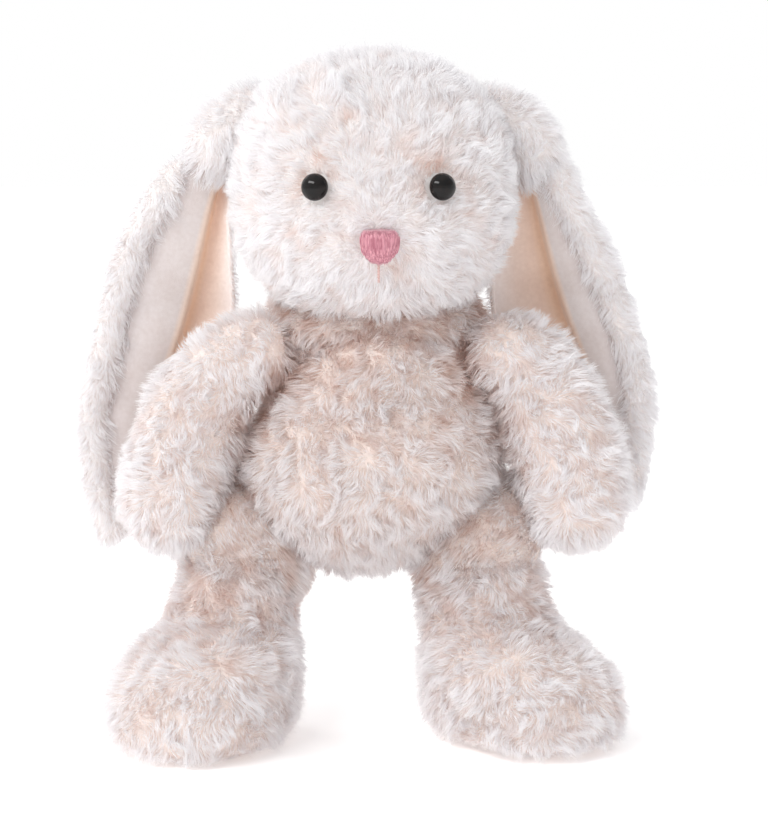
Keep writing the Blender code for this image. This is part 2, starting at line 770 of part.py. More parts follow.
def carried(name, place, prefixes, carrier=None, carrier_place=None):
    """An empty on a joint's axis that carries a body's pieces, and their cutters."""
    empty = bpy.data.objects.new(name, None)
    PARTS.objects.link(empty)
    empty.location = place
    if carrier:
        empty.parent = carrier
        empty.matrix_parent_inverse = Matrix.Translation(-carrier_place)
    for piece in (*PARTS.objects, *CUTTERS.objects):
        if piece.type != "EMPTY" and piece.name.startswith(prefixes):
            piece.parent = empty
            piece.matrix_parent_inverse = Matrix.Translation(-place)
    return empty


def make_joints():
    on_head = ("head_", "eye_", "nose_", "mouth_", "neck_opening")
    nod = carried("head_nod_axis", NECK_PIVOT, on_head)
    for side, sign in SIDES:
        hip = HIP_FOLD + Vector((sign * CROTCH.x, 0.0, 0.0))
        carried(f"arm_{side}_swing_axis", SHOULDER[side], (f"arm_{side}_",))
        carried(f"leg_{side}_fold_axis", hip, (f"leg_{side}_",))
        carried(f"ear_{side}_lift_axis", EAR_PIVOT[side], (f"ear_{side}_",), nod, NECK_PIVOT)


def make_bunny():
    make_torso()
    make_head()
    for side, sign in SIDES:
        make_arm(side, sign)
        make_leg(side, sign)
        make_ear(side, sign)
    make_tail()
    make_label()
    make_joints()


make_bunny()
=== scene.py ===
"""Looks of the standing plush bunny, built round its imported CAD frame.

The stuffed bags become padded skins, and every furred surface grows a pile of tapered
strands. "Left" and "right" are the bunny's own sides, so its left is at +X.
"""

import json
import math

import bmesh
import bpy
import numpy as np
from mathutils import Matrix, Vector
from mathutils.kdtree import KDTree


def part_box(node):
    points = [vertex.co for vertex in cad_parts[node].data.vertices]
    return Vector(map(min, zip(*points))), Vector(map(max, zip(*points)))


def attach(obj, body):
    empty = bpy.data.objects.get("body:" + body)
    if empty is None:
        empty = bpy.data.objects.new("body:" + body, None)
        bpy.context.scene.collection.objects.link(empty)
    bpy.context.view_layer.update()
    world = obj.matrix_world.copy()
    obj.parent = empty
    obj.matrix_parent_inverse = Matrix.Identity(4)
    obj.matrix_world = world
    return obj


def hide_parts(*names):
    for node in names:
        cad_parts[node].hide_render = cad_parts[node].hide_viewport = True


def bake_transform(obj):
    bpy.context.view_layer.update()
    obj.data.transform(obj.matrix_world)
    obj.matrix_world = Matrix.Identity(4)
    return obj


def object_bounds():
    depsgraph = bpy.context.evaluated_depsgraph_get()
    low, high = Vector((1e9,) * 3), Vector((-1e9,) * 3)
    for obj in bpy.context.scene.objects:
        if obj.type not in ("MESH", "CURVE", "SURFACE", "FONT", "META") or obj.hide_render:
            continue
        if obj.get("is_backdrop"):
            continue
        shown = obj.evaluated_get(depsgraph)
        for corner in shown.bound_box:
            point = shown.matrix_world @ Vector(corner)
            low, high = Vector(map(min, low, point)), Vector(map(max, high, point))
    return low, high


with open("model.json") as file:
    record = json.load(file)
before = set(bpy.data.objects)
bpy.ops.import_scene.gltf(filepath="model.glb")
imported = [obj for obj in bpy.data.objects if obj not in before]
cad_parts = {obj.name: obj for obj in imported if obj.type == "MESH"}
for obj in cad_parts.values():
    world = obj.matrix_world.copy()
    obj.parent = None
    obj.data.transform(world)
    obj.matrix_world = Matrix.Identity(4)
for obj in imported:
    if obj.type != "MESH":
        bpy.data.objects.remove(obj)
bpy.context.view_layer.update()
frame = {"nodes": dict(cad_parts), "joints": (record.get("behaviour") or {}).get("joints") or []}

NODES = frame["nodes"]
PIVOT = {joint["name"]: Vector(joint["pos_m"]) for joint in frame["joints"]}
SIDES = (("left", 1), ("right", -1))
BAKE_UV = "OFBake"  # the strands' map: along a strand, and its tone

# Skins, metres
SKIN_VOXEL = 0.0040
SKIN_INSET = 0.0016  # the backing lies this far inside the CAD's flattened pile
SWELL_FRAMES = 20
SWELL_PRESSURE = 4.0
SWELL_CAP = 0.0025

# Pile
STRANDS_PER_M2 = 1.90e6 * 1.0
STRAND_WIDTH = 0.00030 * 1.0
STATIONS = np.array([0.0, 0.50, 1.0])  # along a strand
FINE_CLUMP = 0.0019  # spacing of the fine locks
TUFT = 0.0085  # spacing of the tufts
MOST_STRANDS = 65000  # in one piece, so that the piece stays light
FLOOR_GAP = 0.0006  # lowest that a strand may lie
LEAN = 1.04  # of a strand away from the skin's own direction, radians
LEAN_RANGE = (0.36, 1.38)
LEAN_AT_ROOT = 0.30
SWELL_LIMIT = 1.7  # of the slow noise that raises the swells of the pile
PARTING_SPACING = 0.026
PARTING_WIDTH = 0.20  # as a share of the noise that parts the pile
PARTING_TRIM = 0.32  # how much shorter the strands of a parting are
STRAND_CURL = 0.34  # how far a strand weaves sideways, as a share of its length
TUFT_CURL = 0.22
TUFT_PULL = 0.55  # how far a lock gives way to its tuft
STRAND_SCATTER = 0.00018
MIDDLE_TONE = 0.67
# painted light and shade: strands on the swells' tops are lighter, those between them darker and warmer
SWELL_PAINTED_SHADING = 0.12
# painted shade: strands in the partings are darker and warmer
PARTING_PAINTED_SHADE = 0.30
PILE_LENGTH = {
    "head": 0.0076,
    "torso": 0.0082,
    "tail": 0.0085,
    "limb": 0.0083,
    "sole": 0.0030,
    "neck": 0.0085,
    "hip": 0.0088,
    "ear_back": 0.0075,
    "ear_rim": 0.0066,
    "ear_edge": 0.0036,
}


# --- Small helpers --------------------------------------------------------------------


def linked(name, mesh, surface=None):
    made = bpy.data.objects.new(name, mesh)
    bpy.context.scene.collection.objects.link(made)
    if surface:
        mesh.materials.append(surface)
    return made


def unit(vectors):
    return vectors / np.maximum(np.linalg.norm(vectors, axis=-1, keepdims=True), 1e-9)


def waves(points, seed, wavelength, count=9):
    """Smooth noise over space, from a few plane waves, with a spread of about one."""
    rng = np.random.default_rng(seed)
    ways = unit(rng.normal(size=(count, 3)))
    ways *= (math.tau / wavelength) * rng.uniform(0.7, 1.5, (count, 1))
    return np.sin(points @ ways.T + rng.uniform(0, math.tau, count)).sum(1) / math.sqrt(count / 2)


def middle_of(node):
    low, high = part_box(node)
    return (low + high) / 2


def plate_frame(node, facing):
    """The middle of a flat CAD node, and the way its flat side looks, on the side of facing."""
    points = np.array([v.co for v in NODES[node].data.vertices])
    centre = points.mean(0)
    across = np.linalg.svd(points - centre, full_matrices=False)[2][2]
    if across @ np.array(facing) < 0:
        across = -across
    return Vector(centre), Vector(across)


def evaluated_mesh(obj):
    graph = bpy.context.evaluated_depsgraph_get()
    graph.update()
    return bpy.data.meshes.new_from_object(obj.evaluated_get(graph), depsgraph=graph)


def baked(obj):
    """Puts the object's modifiers into its mesh."""
    mesh = evaluated_mesh(obj)
    obj.modifiers.clear()
    obj.data = mesh
    return obj


def smooth(obj):
    obj.data.shade_smooth()
    return obj


def vectors_of(source, kind):
    """The vectors of a mesh's vertices (kind "co") or vertex normals (kind "vector"), one row each."""
    values = np.empty(len(source) * 3, np.float32)
    source.foreach_get(kind, values)
    return values.reshape(-1, 3)


def places_of(mesh):
    return vectors_of(mesh.vertices, "co")


def looks_of(mesh):
    return vectors_of(mesh.vertex_normals, "vector")


def put(mesh, places):
    mesh.vertices.foreach_set("co", places.ravel())
    mesh.update()


def through(rows, shares):
    """Smooth courses through rows of numbers, at shares from 0 to 1 of the way."""
    last = len(rows) - 1
    place = np.clip(shares, 0, 1) * last
    at = np.minimum(place.astype(int), last - 1)
    t = (place - at)[:, None]
    a, b, c, d = (rows[np.clip(at + k, 0, last)] for k in (-1, 0, 1, 2))
    cubic = (2 * a - 5 * b + 4 * c - d) * t**2 + (3 * b - a - 3 * c + d) * t**3
    return 0.5 * (2 * b + (c - a) * t + cubic)


def closed_mesh(name, verts, faces, surface):
    mesh = bpy.data.meshes.new(name)
    mesh.from_pydata(np.asarray(verts).tolist(), [], [list(face) for face in faces])
    shape = bmesh.new()
    shape.from_mesh(mesh)
    bmesh.ops.recalc_face_normals(shape, faces=shape.faces)
    shape.to_mesh(mesh)
    shape.free()
    return smooth(linked(name, mesh, surface))


def object_of(name, shape, surface=None):
    """The object of a finished bmesh."""
    mesh = bpy.data.meshes.new(name)
    shape.to_mesh(mesh)
    shape.free()
    return linked(name, mesh, surface)


def placed(piece, body, slot_name, *nodes):
    """Lets the piece ride on a body, and hides the CAD nodes that it stands for.
    Its finish, slot_name, is not used.
    """
    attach(piece, body)
    if nodes:
        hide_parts(*nodes)
    return piece


def grid_faces(rows, columns):
    at = (np.arange(rows - 1)[:, None] * columns + np.arange(columns - 1)).ravel()
    return np.stack([at, at + 1, at + columns + 1, at + columns], axis=1)


def quilt(name, front, back, rows, columns, surface):
    """A closed body between two sheets of the same grid."""
    faces = grid_faces(rows, columns)
    count = rows * columns
    rim = list(range(columns)) + list(range(2 * columns - 1, count, columns))
    rim += list(range(count - 2, count - columns - 1, -1))
    rim += list(range(count - 2 * columns, 0, -columns))
    walls = [(a, b, b + count, a + count) for a, b in zip(rim, rim[1:] + rim[:1])]
    faces = [*faces, *(faces[:, ::-1] + count), *walls]
    return closed_mesh(name, np.concatenate([front, back]), faces, surface)


def swept(name, path, wide, deep, surface, around=28):
    """A closed bag in rings along a path that keeps its y: wide across the path, deep along y."""
    path = np.asarray(path, float)
    run = np.gradient(path, axis=0)
    run[:, 1] = 0
    side = np.cross(unit(run), (0.0, 1.0, 0.0))
    turns = math.tau * np.arange(around) / around
    rings = path[:, None] + np.cos(turns)[None, :, None] * (side * np.asarray(wide)[:, None])[:, None]
    rings[:, :, 1] += np.sin(turns) * np.asarray(deep)[:, None]
    after = np.roll(np.arange(around), -1)
    faces = []
    for k in range(len(path) - 1):
        low, high = k * around, (k + 1) * around
        faces += [(low + n, low + after[n], high + after[n], high + n) for n in range(around)]
    faces.append(tuple(range(around))[::-1])
    faces.append(tuple(range((len(path) - 1) * around, len(path) * around)))
    return closed_mesh(name, rings.reshape(-1, 3), faces, surface)


def egg(name, centre, axis, along, wide, deep, surface):
    """A closed oval bag whose rings stand across an axis in the plane y = constant."""
    rise = np.sin(np.linspace(-1.5, 1.5, 19))
    path = np.asarray(centre)[None, :] + np.asarray(axis)[None, :] * (along * rise)[:, None]
    size = np.sqrt(1 - rise**2)
    return swept(name, path, wide * size, deep * size, surface)


# --- Materials ------------------------------------------------------------------------

UNTINTED = (1.0, 1.0, 1.0)
WHITE = (*UNTINTED, 1.0)
FLOOR_FADE = (0.10, 0.45)  # from the toy's middle, metres: the paper's painted glow is stronger further out, and weaker near the toy as painted shade round its feet
# strength of the paper's painted glow, near the toy and far out
FLOOR_PAINTED_GLOW = (0.22, 0.30)
PILE_TRANSLUCENCE = 0.48  # share of the light that passes through a strand
SHEEN_ROUGHNESS = 0.45


def fed(tree, node, **feeds):
    """Feeds a node's sockets, named with _ for a blank: an output is linked, a value is set."""
    for name, feed in feeds.items():
        socket = node.inputs[name.replace("_", " ")]
        if isinstance(feed, bpy.types.NodeSocket):
            tree.links.new(feed, socket)
        else:
            socket.default_value = feed
    return node


def new_node(tree, kind, **feeds):
    return fed(tree, tree.nodes.new(f"ShaderNode{kind}"), **feeds)


def principled(name, roughness, sheen=0.0, specular=0.5):
    """A new material, with its tree and its shader."""
    made = bpy.data.materials.new(name)
    made.use_nodes = True
    tree = made.node_tree
    shader = fed(tree, tree.nodes["Principled BSDF"], Roughness=roughness, Specular_IOR_Level=specular)
    fed(tree, shader, Sheen_Weight=sheen, Sheen_Roughness=SHEEN_ROUGHNESS)
    return made, tree, shader


def ramp(tree, source, stops):
    node = new_node(tree, "ValToRGB", Fac=source)
    ends = node.color_ramp.elements
    while len(ends) < len(stops):
        ends.new(0.5)
    for element, (place, colour) in zip(ends, stops):
        element.position = place
        element.color = (*colour, 1.0)
    return node.outputs["Color"]


def mixed(tree, a, b, factor=1.0, blend="MULTIPLY"):
    node = new_node(tree, "Mix")
    node.data_type = "RGBA"
    node.blend_type = blend
    return fed(tree, node, Factor=factor, A=a, B=b).outputs["Result"]


def own_place(tree):
    """The place of a point in its object's frame."""
    return new_node(tree, "TexCoord").outputs["Object"]


def noise(tree, scale, detail=4.0, source=None):
    place = own_place(tree) if source is None else source
    return new_node(tree, "TexNoise", Scale=scale, Detail=detail, Vector=place).outputs["Fac"]


def ranged(tree, source, low, high, least=0.0, most=1.0):
    """Turns a value that runs from low to high into one from least to most."""
    node = new_node(tree, "MapRange", Value=source, From_Min=low, From_Max=high)
    return fed(tree, node, To_Min=least, To_Max=most).outputs["Result"]


def bump(tree, shader, height, strength, distance):
    node = new_node(tree, "Bump", Strength=strength, Distance=distance, Height=height)
    fed(tree, shader, Normal=node.outputs["Normal"])


def chart_ways(tree, uv_map):
    """The two places of a point on a map, as the outputs X and Y."""
    chart = new_node(tree, "UVMap")
    chart.uv_map = uv_map
    return new_node(tree, "SeparateXYZ", Vector=chart.outputs["UV"]).outputs


def pile_material(name, root, shaft, tip, shade):
    """Pile that lets light through. Its colour runs along the strand, darker and warmer toward the
    root as painted shade deep in the pile, and darkens with its tone, which carries painted light and
    shade.
    """
    made, tree, shader = principled(name, 0.75, specular=0.12)
    chart = chart_ways(tree, BAKE_UV)
    along = ramp(tree, chart["X"], ((0.0, root), (0.40, shaft), (0.95, tip)))
    tone = ramp(tree, chart["Y"], ((0.05, shade), (0.58, UNTINTED), (1.0, UNTINTED)))
    colour = mixed(tree, along, tone)
    fed(tree, shader, Base_Color=colour)
    glow = new_node(tree, "BsdfTranslucent", Color=colour)
    both = new_node(tree, "MixShader", Fac=PILE_TRANSLUCENCE)
    tree.links.new(shader.outputs["BSDF"], both.inputs[1])
    tree.links.new(glow.outputs["BSDF"], both.inputs[2])
    fed(tree, tree.nodes["Material Output"], Surface=both.outputs["Shader"])
    return made


def backing_material(name, low, high):
    """The knitted backing and the short under-pile that show between the tufts, coloured darker and
    warmer than the pile as painted shade deep in the pile.
    """
    made, tree, shader = principled(name, 0.95, sheen=0.2, specular=0.2)
    fed(tree, shader, Base_Color=ramp(tree, noise(tree, 160.0, 6.0), ((0.35, low), (0.65, high))))
    bump(tree, shader, noise(tree, 900.0, 6.0), 0.7, 0.0012)
    return made


def velour_material():
    """Short velour, greyer cream on the outer wing and peach in the hollow of the ear. The grey of the
    outer wing is painted shade, the orange by the cleft is painted shade with a painted glow of light
    through the ear, the peach of the hollow is partly its own colour and partly painted shade, and
    the light inner edge is painted light.
    """
    made, tree, shader = principled("ear_velour_pile", 0.78, sheen=0.45, specular=0.2)
    # painted light and shade across the ear, from the rolled rim (0) through the ridge and cleft to the
    # inner edge (1)
    across = ramp(
        tree,
        chart_ways(tree, "Lining")["X"],
        (
            (0.0, (0.62, 0.57, 0.57)),
            (0.44, (0.71, 0.655, 0.64)),
            (0.525, (0.94, 0.68, 0.49)),
            (0.62, (0.88, 0.69, 0.58)),
            (0.80, (0.86, 0.71, 0.63)),
            (1.0, (0.94, 0.88, 0.86)),
        ),
    )
    fine = ramp(tree, noise(tree, 520.0, 5.0), ((0.3, (0.93, 0.91, 0.90)), (0.7, UNTINTED)))
    broad = ramp(tree, noise(tree, 55.0, 3.0), ((0.35, (0.95, 0.93, 0.92)), (0.65, UNTINTED)))
    fed(tree, shader, Base_Color=mixed(tree, mixed(tree, across, fine), broad))
    bump(tree, shader, noise(tree, 2600.0, 3.0), 0.35, 0.0004)
    return made


def eye_material():
    """Polished black with faint brown streaks."""
    made, tree, shader = principled("eye_black", 0.06, specular=0.28)
    streaks = noise(tree, 420.0, 2.0)
    tint = ramp(tree, streaks, ((0.4, (0.003, 0.0025, 0.0025)), (0.7, (0.010, 0.006, 0.005))))
    fed(tree, shader, Base_Color=tint)
    return made


def thread_material(name, deep, lit, roughness=0.38, upright=1.0):
    """Lustrous twisted thread: fine plies along it, streaked with a deep and a lit colour as painted
    shade and painted highlight. Upright below one draws its streaks out along z.
    """
    made, tree, shader = principled(name, roughness, sheen=0.2, specular=0.6)
    drawn = new_node(tree, "Mapping", Scale=(1.0, 1.0, upright), Vector=own_place(tree))
    place = drawn.outputs["Vector"]
    # painted highlight and shade: noise streaks the lit and deep colours along the plies
    plies = ramp(tree, noise(tree, 1500.0, 3.0, place), ((0.36, deep), (0.66, lit)))
    fed(tree, shader, Base_Color=plies)
    bump(tree, shader, noise(tree, 3200.0, 2.0, place), 0.6, 0.0002)
    return made


def plastic_material(name, colour):
    made, tree, shader = principled(name, 0.45)
    tint = ramp(tree, noise(tree, 300.0), ((0.3, tuple(0.93 * c for c in colour)), (0.7, colour)))
    fed(tree, shader, Base_Color=tint)
    bump(tree, shader, noise(tree, 1200.0), 0.15, 0.0002)
    return made


def satin_material():
    """Woven satin ribbon: ribs that follow the ribbon's width."""
    made, tree, shader = principled("label_satin_weave", 0.38, sheen=0.3)
    weave = new_node(tree, "TexWave", Scale=900.0, Vector=own_place(tree))
    weave.bands_direction = "Z"
    tint = ramp(tree, noise(tree, 700.0), ((0.3, (0.86, 0.86, 0.85)), (0.7, (0.93, 0.93, 0.92))))
    fed(tree, shader, Base_Color=tint)
    bump(tree, shader, weave.outputs["Fac"], 0.4, 0.0002)
    return made


def floor_material():
    """White paper that glows a little as painted light, so that it stays white to its far edge.
    The glow is weaker near the toy: painted shade round its feet.
    """
    made, tree, shader = principled("paper_floor", 0.9, specular=0.1)
    tint = ramp(tree, noise(tree, 3.0), ((0.0, (0.955, 0.95, 0.95)), (1.0, (0.965, 0.96, 0.96))))
    away = new_node(tree, "VectorMath")
    away.operation = "LENGTH"
    tree.links.new(own_place(tree), away.inputs[0])
    lit = ranged(tree, away.outputs["Value"], *FLOOR_FADE, *FLOOR_PAINTED_GLOW)
    fed(tree, shader, Base_Color=tint, Emission_Color=WHITE, Emission_Strength=lit)
    return made


# the limb and body piles are darker than the head pile, and the body pile warmer: partly their own
# colour, partly painted shade on the body below the head
HEAD_PILE = pile_material(
    "head_pile", (0.895, 0.85, 0.835), (0.925, 0.919, 0.929), (0.952, 0.951, 0.959), (0.91, 0.78, 0.72)
)
LIMB_PILE = pile_material(
    "limb_pile", (0.88, 0.825, 0.805), (0.917, 0.908, 0.918), (0.945, 0.943, 0.952), (0.87, 0.735, 0.675)
)
BODY_PILE = pile_material(
    "body_pile", (0.84, 0.76, 0.72), (0.896, 0.878, 0.882), (0.929, 0.922, 0.930), (0.84, 0.68, 0.605)
)
# the backings' darker, warmer colours are painted shade deep in the pile
HEAD_BACKING = backing_material("head_backing", (0.86, 0.81, 0.79), (0.91, 0.88, 0.87))
BODY_BACKING = backing_material("body_backing", (0.84, 0.72, 0.66), (0.89, 0.81, 0.77))
VELOUR = velour_material()
EYE_BLACK = eye_material()
NOSE_PINK = thread_material("nose_floss", (0.41, 0.125, 0.175), (0.74, 0.36, 0.42), 0.30, 0.06)
MOUTH_PINK = thread_material("mouth_floss", (0.62, 0.38, 0.35), (0.76, 0.54, 0.50))
SEAM_THREAD = thread_material("seam_thread", (0.78, 0.68, 0.60), (0.90, 0.84, 0.78), 0.6)
WASHER_PLASTIC = plastic_material("washer_plastic", (0.82, 0.82, 0.80))
LABEL_SATIN = satin_material()


# --- Padded skins ---------------------------------------------------------------------


def bag(name, nodes, surface):
    """One skin round the CAD nodes of a stuffed bag, a little smaller, ready to swell."""
    shape = bmesh.new()
    for node in nodes:
        shape.from_mesh(NODES[node].data)
    bmesh.ops.remove_doubles(shape, verts=shape.verts, dist=1e-6)
    skin = object_of(name, shape)
    remesh = skin.modifiers.new("remesh", "REMESH")
    remesh.mode = "VOXEL"
    remesh.voxel_size = SKIN_VOXEL
    baked(skin)
    ease = skin.modifiers.new("ease", "SMOOTH")
    ease.factor = 0.5
    ease.iterations = 4
    baked(skin)
    put(skin.data, places_of(skin.data) - SKIN_INSET * looks_of(skin.data))
    skin.data.materials.clear()
    skin.data.materials.append(surface)
    return skin


def swell(skins):
    """Blows the skins up a little as cloth, all at once, so that they look stuffed."""
    before = {}
    for skin in skins:
        before[skin.name] = places_of(skin.data)
        cloth = skin.modifiers.new("cloth", "CLOTH")
        cloth.settings.quality = 5
        cloth.settings.use_pressure = True
        cloth.settings.uniform_pressure_force = SWELL_PRESSURE
        cloth.settings.effector_weights.gravity = 0.0
        cloth.point_cache.frame_end = SWELL_FRAMES
    for step in range(1, SWELL_FRAMES + 1):
        bpy.context.scene.frame_set(step)
    swollen = {skin.name: evaluated_mesh(skin) for skin in skins}
    for skin in skins:
        skin.modifiers.clear()
        moved = places_of(swollen[skin.name]) - before[skin.name]
        far = np.linalg.norm(moved, axis=1, keepdims=True)
        moved *= np.minimum(1.0, SWELL_CAP / np.maximum(far, 1e-9))
        put(skin.data, before[skin.name] + moved)
        bpy.data.meshes.remove(swollen[skin.name])
    bpy.context.scene.frame_set(1)


def pushed(skin, centre, reach, move):
    """Fills a skin out round a place: moves it there by up to move, where it looks that way."""
    places, looks, move = places_of(skin.data), looks_of(skin.data), np.array(move)
    near = np.exp(-(np.linalg.norm((places - centre) / reach, axis=1) ** 2))
    facing = np.clip(looks @ (move / np.linalg.norm(move)) + 0.2, 0, 1)
    put(skin.data, places + (near * facing)[:, None] * move)


def leaned(skin, top, bottom, move):
    """Moves a skin sideways: not at all above top, fully below bottom."""
    places = places_of(skin.data)
    share = np.clip((top - places[:, 2]) / (top - bottom), 0, 1)[:, None]
    put(skin.data, places + share * np.array(move))


def finished_skin(skin, body, nodes):
    """Rounds the skin off, and says which body it rides and what it stands for."""
    rounding = skin.modifiers.new("rounding", "SUBSURF")
    rounding.levels = 1
    rounding.render_levels = 1
    placed(smooth(baked(skin)), body, "cream_fur", *nodes)


# --- Pile -----------------------------------------------------------------------------


def roots_on(obj, per_m2, seed, first=0):
    """Scatters roots evenly over a mesh: their places and the way the mesh looks there.

    With first given, only the faces whose corners are all that vertex or later ones count."""
    mesh = obj.data
    mesh.calc_loop_triangles()
    faces = np.empty(len(mesh.loop_triangles) * 3, np.int32)
    mesh.loop_triangles.foreach_get("vertices", faces)
    faces = faces.reshape(-1, 3)
    faces = faces[faces.min(axis=1) >= first]
    places, looks = places_of(mesh), looks_of(mesh)
    rng = np.random.default_rng(seed)
    a, b, c = (places[faces[:, k]].astype(float) for k in range(3))
    areas = np.linalg.norm(np.cross(b - a, c - a), axis=1) / 2
    count = int(areas.sum() * per_m2)
    picked = rng.choice(len(faces), count, p=areas / areas.sum())
    u, v = rng.random((2, count))
    over = u + v > 1
    u[over], v[over] = 1 - u[over], 1 - v[over]
    share = np.stack([1 - u - v, u, v], axis=1)[:, :, None]
    corners = faces[picked]
    return (places[corners] * share).sum(1), unit((looks[corners] * share).sum(1))


def nearest(centres, points):
    tree = KDTree(len(centres))
    for index, centre in enumerate(centres):
        tree.insert(centre, index)
    tree.balance()
    return np.fromiter((tree.find(point)[1] for point in points), np.int64, len(points))


def courses(roots, looks, ways, lengths, lean, phase, curl):
    """The line of each strand: it rises from the skin and lies over along its way."""
    side = np.cross(looks, ways)
    lines = [roots]
    for low, high in zip(STATIONS, STATIONS[1:]):
        share = (low + high) / 2
        angle = LEAN_AT_ROOT + (lean - LEAN_AT_ROOT) * share**0.8
        rise = np.cos(angle)[:, None] * looks
        lie = np.sin(angle)[:, None] * ways
        weave = (curl * np.sin(phase + 4.2 * share))[:, None] * side
        lines.append(lines[-1] + (rise + lie + weave) * (lengths * (high - low))[:, None])
    return np.stack(lines, axis=1)


def combed(roots, looks, way, seed, swirl):
    """The way that the pile lies: along way, turned about the skin's own direction by slow noise."""
    ways = unit(way - (way * looks).sum(1, keepdims=True) * looks)
    turn = swirl * (0.65 * waves(roots, seed, 0.030) + 0.70 * waves(roots, seed + 1, 0.012))
    side = np.cross(looks, ways)
    return ways * np.cos(turn)[:, None] + side * np.sin(turn)[:, None]


def grown(roots, looks, ways, lengths, seed, gather=0.40, tuft=TUFT, level=None, shadow=0.0):
    """Strand lines with fine locks inside tufts, as (strand, station, xyz), and each strand's tone.

    The pile stands in low swells, longer and more upright at their tops, with short partings.
    Its tone is painted light and shade: lighter on the swells' tops, darker and warmer in between
    and in the partings. With level given, every strand keeps to the plane across that way.
    Shadow is more painted shade that darkens the tone; a negative shadow is painted light."""
    rng = np.random.default_rng(seed)
    count = len(roots)
    area_share = tuft**2 * STRANDS_PER_M2
    tufts = rng.choice(count, max(3, int(count / area_share)), replace=False)
    locks = rng.choice(count, max(6, int(count / (FINE_CLUMP**2 * STRANDS_PER_M2))), replace=False)
    swells = 0.85 * waves(roots, seed + 4, 1.6 * tuft) + 0.40 * waves(roots, seed + 7, 3.2 * tuft)
    swells = np.clip(swells, -SWELL_LIMIT, SWELL_LIMIT)
    lean = np.clip(LEAN - 0.20 * swells + 0.16 * waves(roots, seed + 3, 0.010), *LEAN_RANGE)
    parted = np.exp(-((waves(roots, seed + 8, PARTING_SPACING) / PARTING_WIDTH) ** 2))
    parted *= np.clip(0.35 + 0.55 * waves(roots, seed + 9, 0.045), 0, 1)
    lengths = lengths * (1.0 + 0.16 * swells) * (1.0 - PARTING_TRIM * parted)
    phase = 1.6 * waves(roots, seed + 5, 0.007)
    strays = unit(ways + 0.22 * rng.normal(size=(count, 3)))
    own_lean = lean + rng.normal(0, 0.11, count)
    own_lengths = lengths * rng.uniform(0.80, 1.06, count)
    own = courses(roots, looks, strays, own_lengths, own_lean, phase, STRAND_CURL)
    of_tuft = nearest(roots[tufts], roots)
    of_lock = nearest(roots[locks], roots)
    weight = STATIONS[None, :, None]
    tuft_way = unit(ways[tufts] + 0.32 * rng.normal(size=(len(tufts), 3)))
    tuft_lengths = lengths[tufts] * 1.04
    tuft_lines = courses(
        roots[tufts], looks[tufts], tuft_way, tuft_lengths, lean[tufts], phase[tufts], TUFT_CURL
    )
    lock_way = unit(ways[locks] + 0.20 * rng.normal(size=(len(locks), 3)))
    lock_lean = lean[locks] + rng.normal(0, 0.13, len(locks))
    lock_lines = courses(
        roots[locks], looks[locks], lock_way, lengths[locks], lock_lean, phase[locks], STRAND_CURL
    )
    pull = tuft_lines[of_tuft[locks]] - lock_lines
    lock_lines = lock_lines + pull * TUFT_PULL * weight**1.2
    lines = own + (lock_lines[of_lock] - own) * gather * weight**0.9
    lines += rng.normal(0, STRAND_SCATTER, lines.shape) * weight
    if level is not None:
        rise = (lines - roots[:, None, :]) @ np.array(level)
        lines -= rise[:, :, None] * np.array(level)
    # painted light and shade in the tone: higher on the swells' tops, lower in the partings and with
    # shadow
    tone = MIDDLE_TONE + SWELL_PAINTED_SHADING * swells + 0.06 * waves(roots, seed + 6, 0.010)
    tone += 0.02 * rng.normal(size=count)
    tone += 0.03 * rng.normal(size=len(locks))[of_lock] - PARTING_PAINTED_SHADE * parted - shadow
    return lines, np.clip(tone, 0.02, 0.98)


def strand_mesh(name, lines, looks, tone, seed, width=STRAND_WIDTH):
    """Flat tapered strands on the given lines, as one mesh with its bake map."""
    rng = np.random.default_rng(seed)
    count, stations = lines.shape[:2]
    tangents = unit(np.gradient(lines, axis=1))
    flat = unit(np.cross(tangents, looks[:, None, :]))
    over = np.cross(flat, tangents)
    twist = rng.normal(0, 0.70, (count, 1, 1))
    flat = flat * np.cos(twist) + over * np.sin(twist)
    widths = width * np.array([1.0, 0.85])[None, :, None] * rng.uniform(0.75, 1.2, (count, 1, 1))
    body = lines[:, :-1]
    edge = flat[:, :-1] * widths / 2
    pairs = np.stack([body - edge, body + edge], axis=2).reshape(count, -1, 3)
    verts = np.concatenate([pairs, lines[:, -1:]], axis=1)
    each = verts.shape[1]
    corners = []
    starts = []
    for k in range(stations - 2):
        starts.append(len(corners))
        corners += [2 * k, 2 * k + 1, 2 * k + 3, 2 * k + 2]
    starts.append(len(corners))
    corners += [each - 3, each - 2, each - 1]
    corners = np.array(corners)
    loops = (np.arange(count)[:, None] * each + corners).ravel()
    loop_starts = (np.arange(count)[:, None] * len(corners) + np.array(starts)).ravel()
    mesh = bpy.data.meshes.new(name)
    mesh.vertices.add(count * each)
    mesh.vertices.foreach_set("co", verts.astype(np.float32).ravel())
    mesh.loops.add(len(loops))
    mesh.loops.foreach_set("vertex_index", loops.astype(np.int32))
    mesh.polygons.add(len(loop_starts))
    mesh.polygons.foreach_set("loop_start", loop_starts.astype(np.int32))
    station = np.append(np.repeat(STATIONS[:-1], 2), 1.0)[corners]
    brim = np.append(np.tile([-1.0, 1.0], stations - 1), 0.0)[corners]
    chart = np.empty((count, len(corners), 2), np.float32)
    chart[:, :, 0] = 0.01 + 0.98 * station
    chart[:, :, 1] = tone[:, None] + 0.006 * brim
    mesh.update(calc_edges=True)
    mesh.uv_layers.new(name=BAKE_UV).data.foreach_set("uv", chart.ravel())
    mesh.shade_smooth()
    return mesh


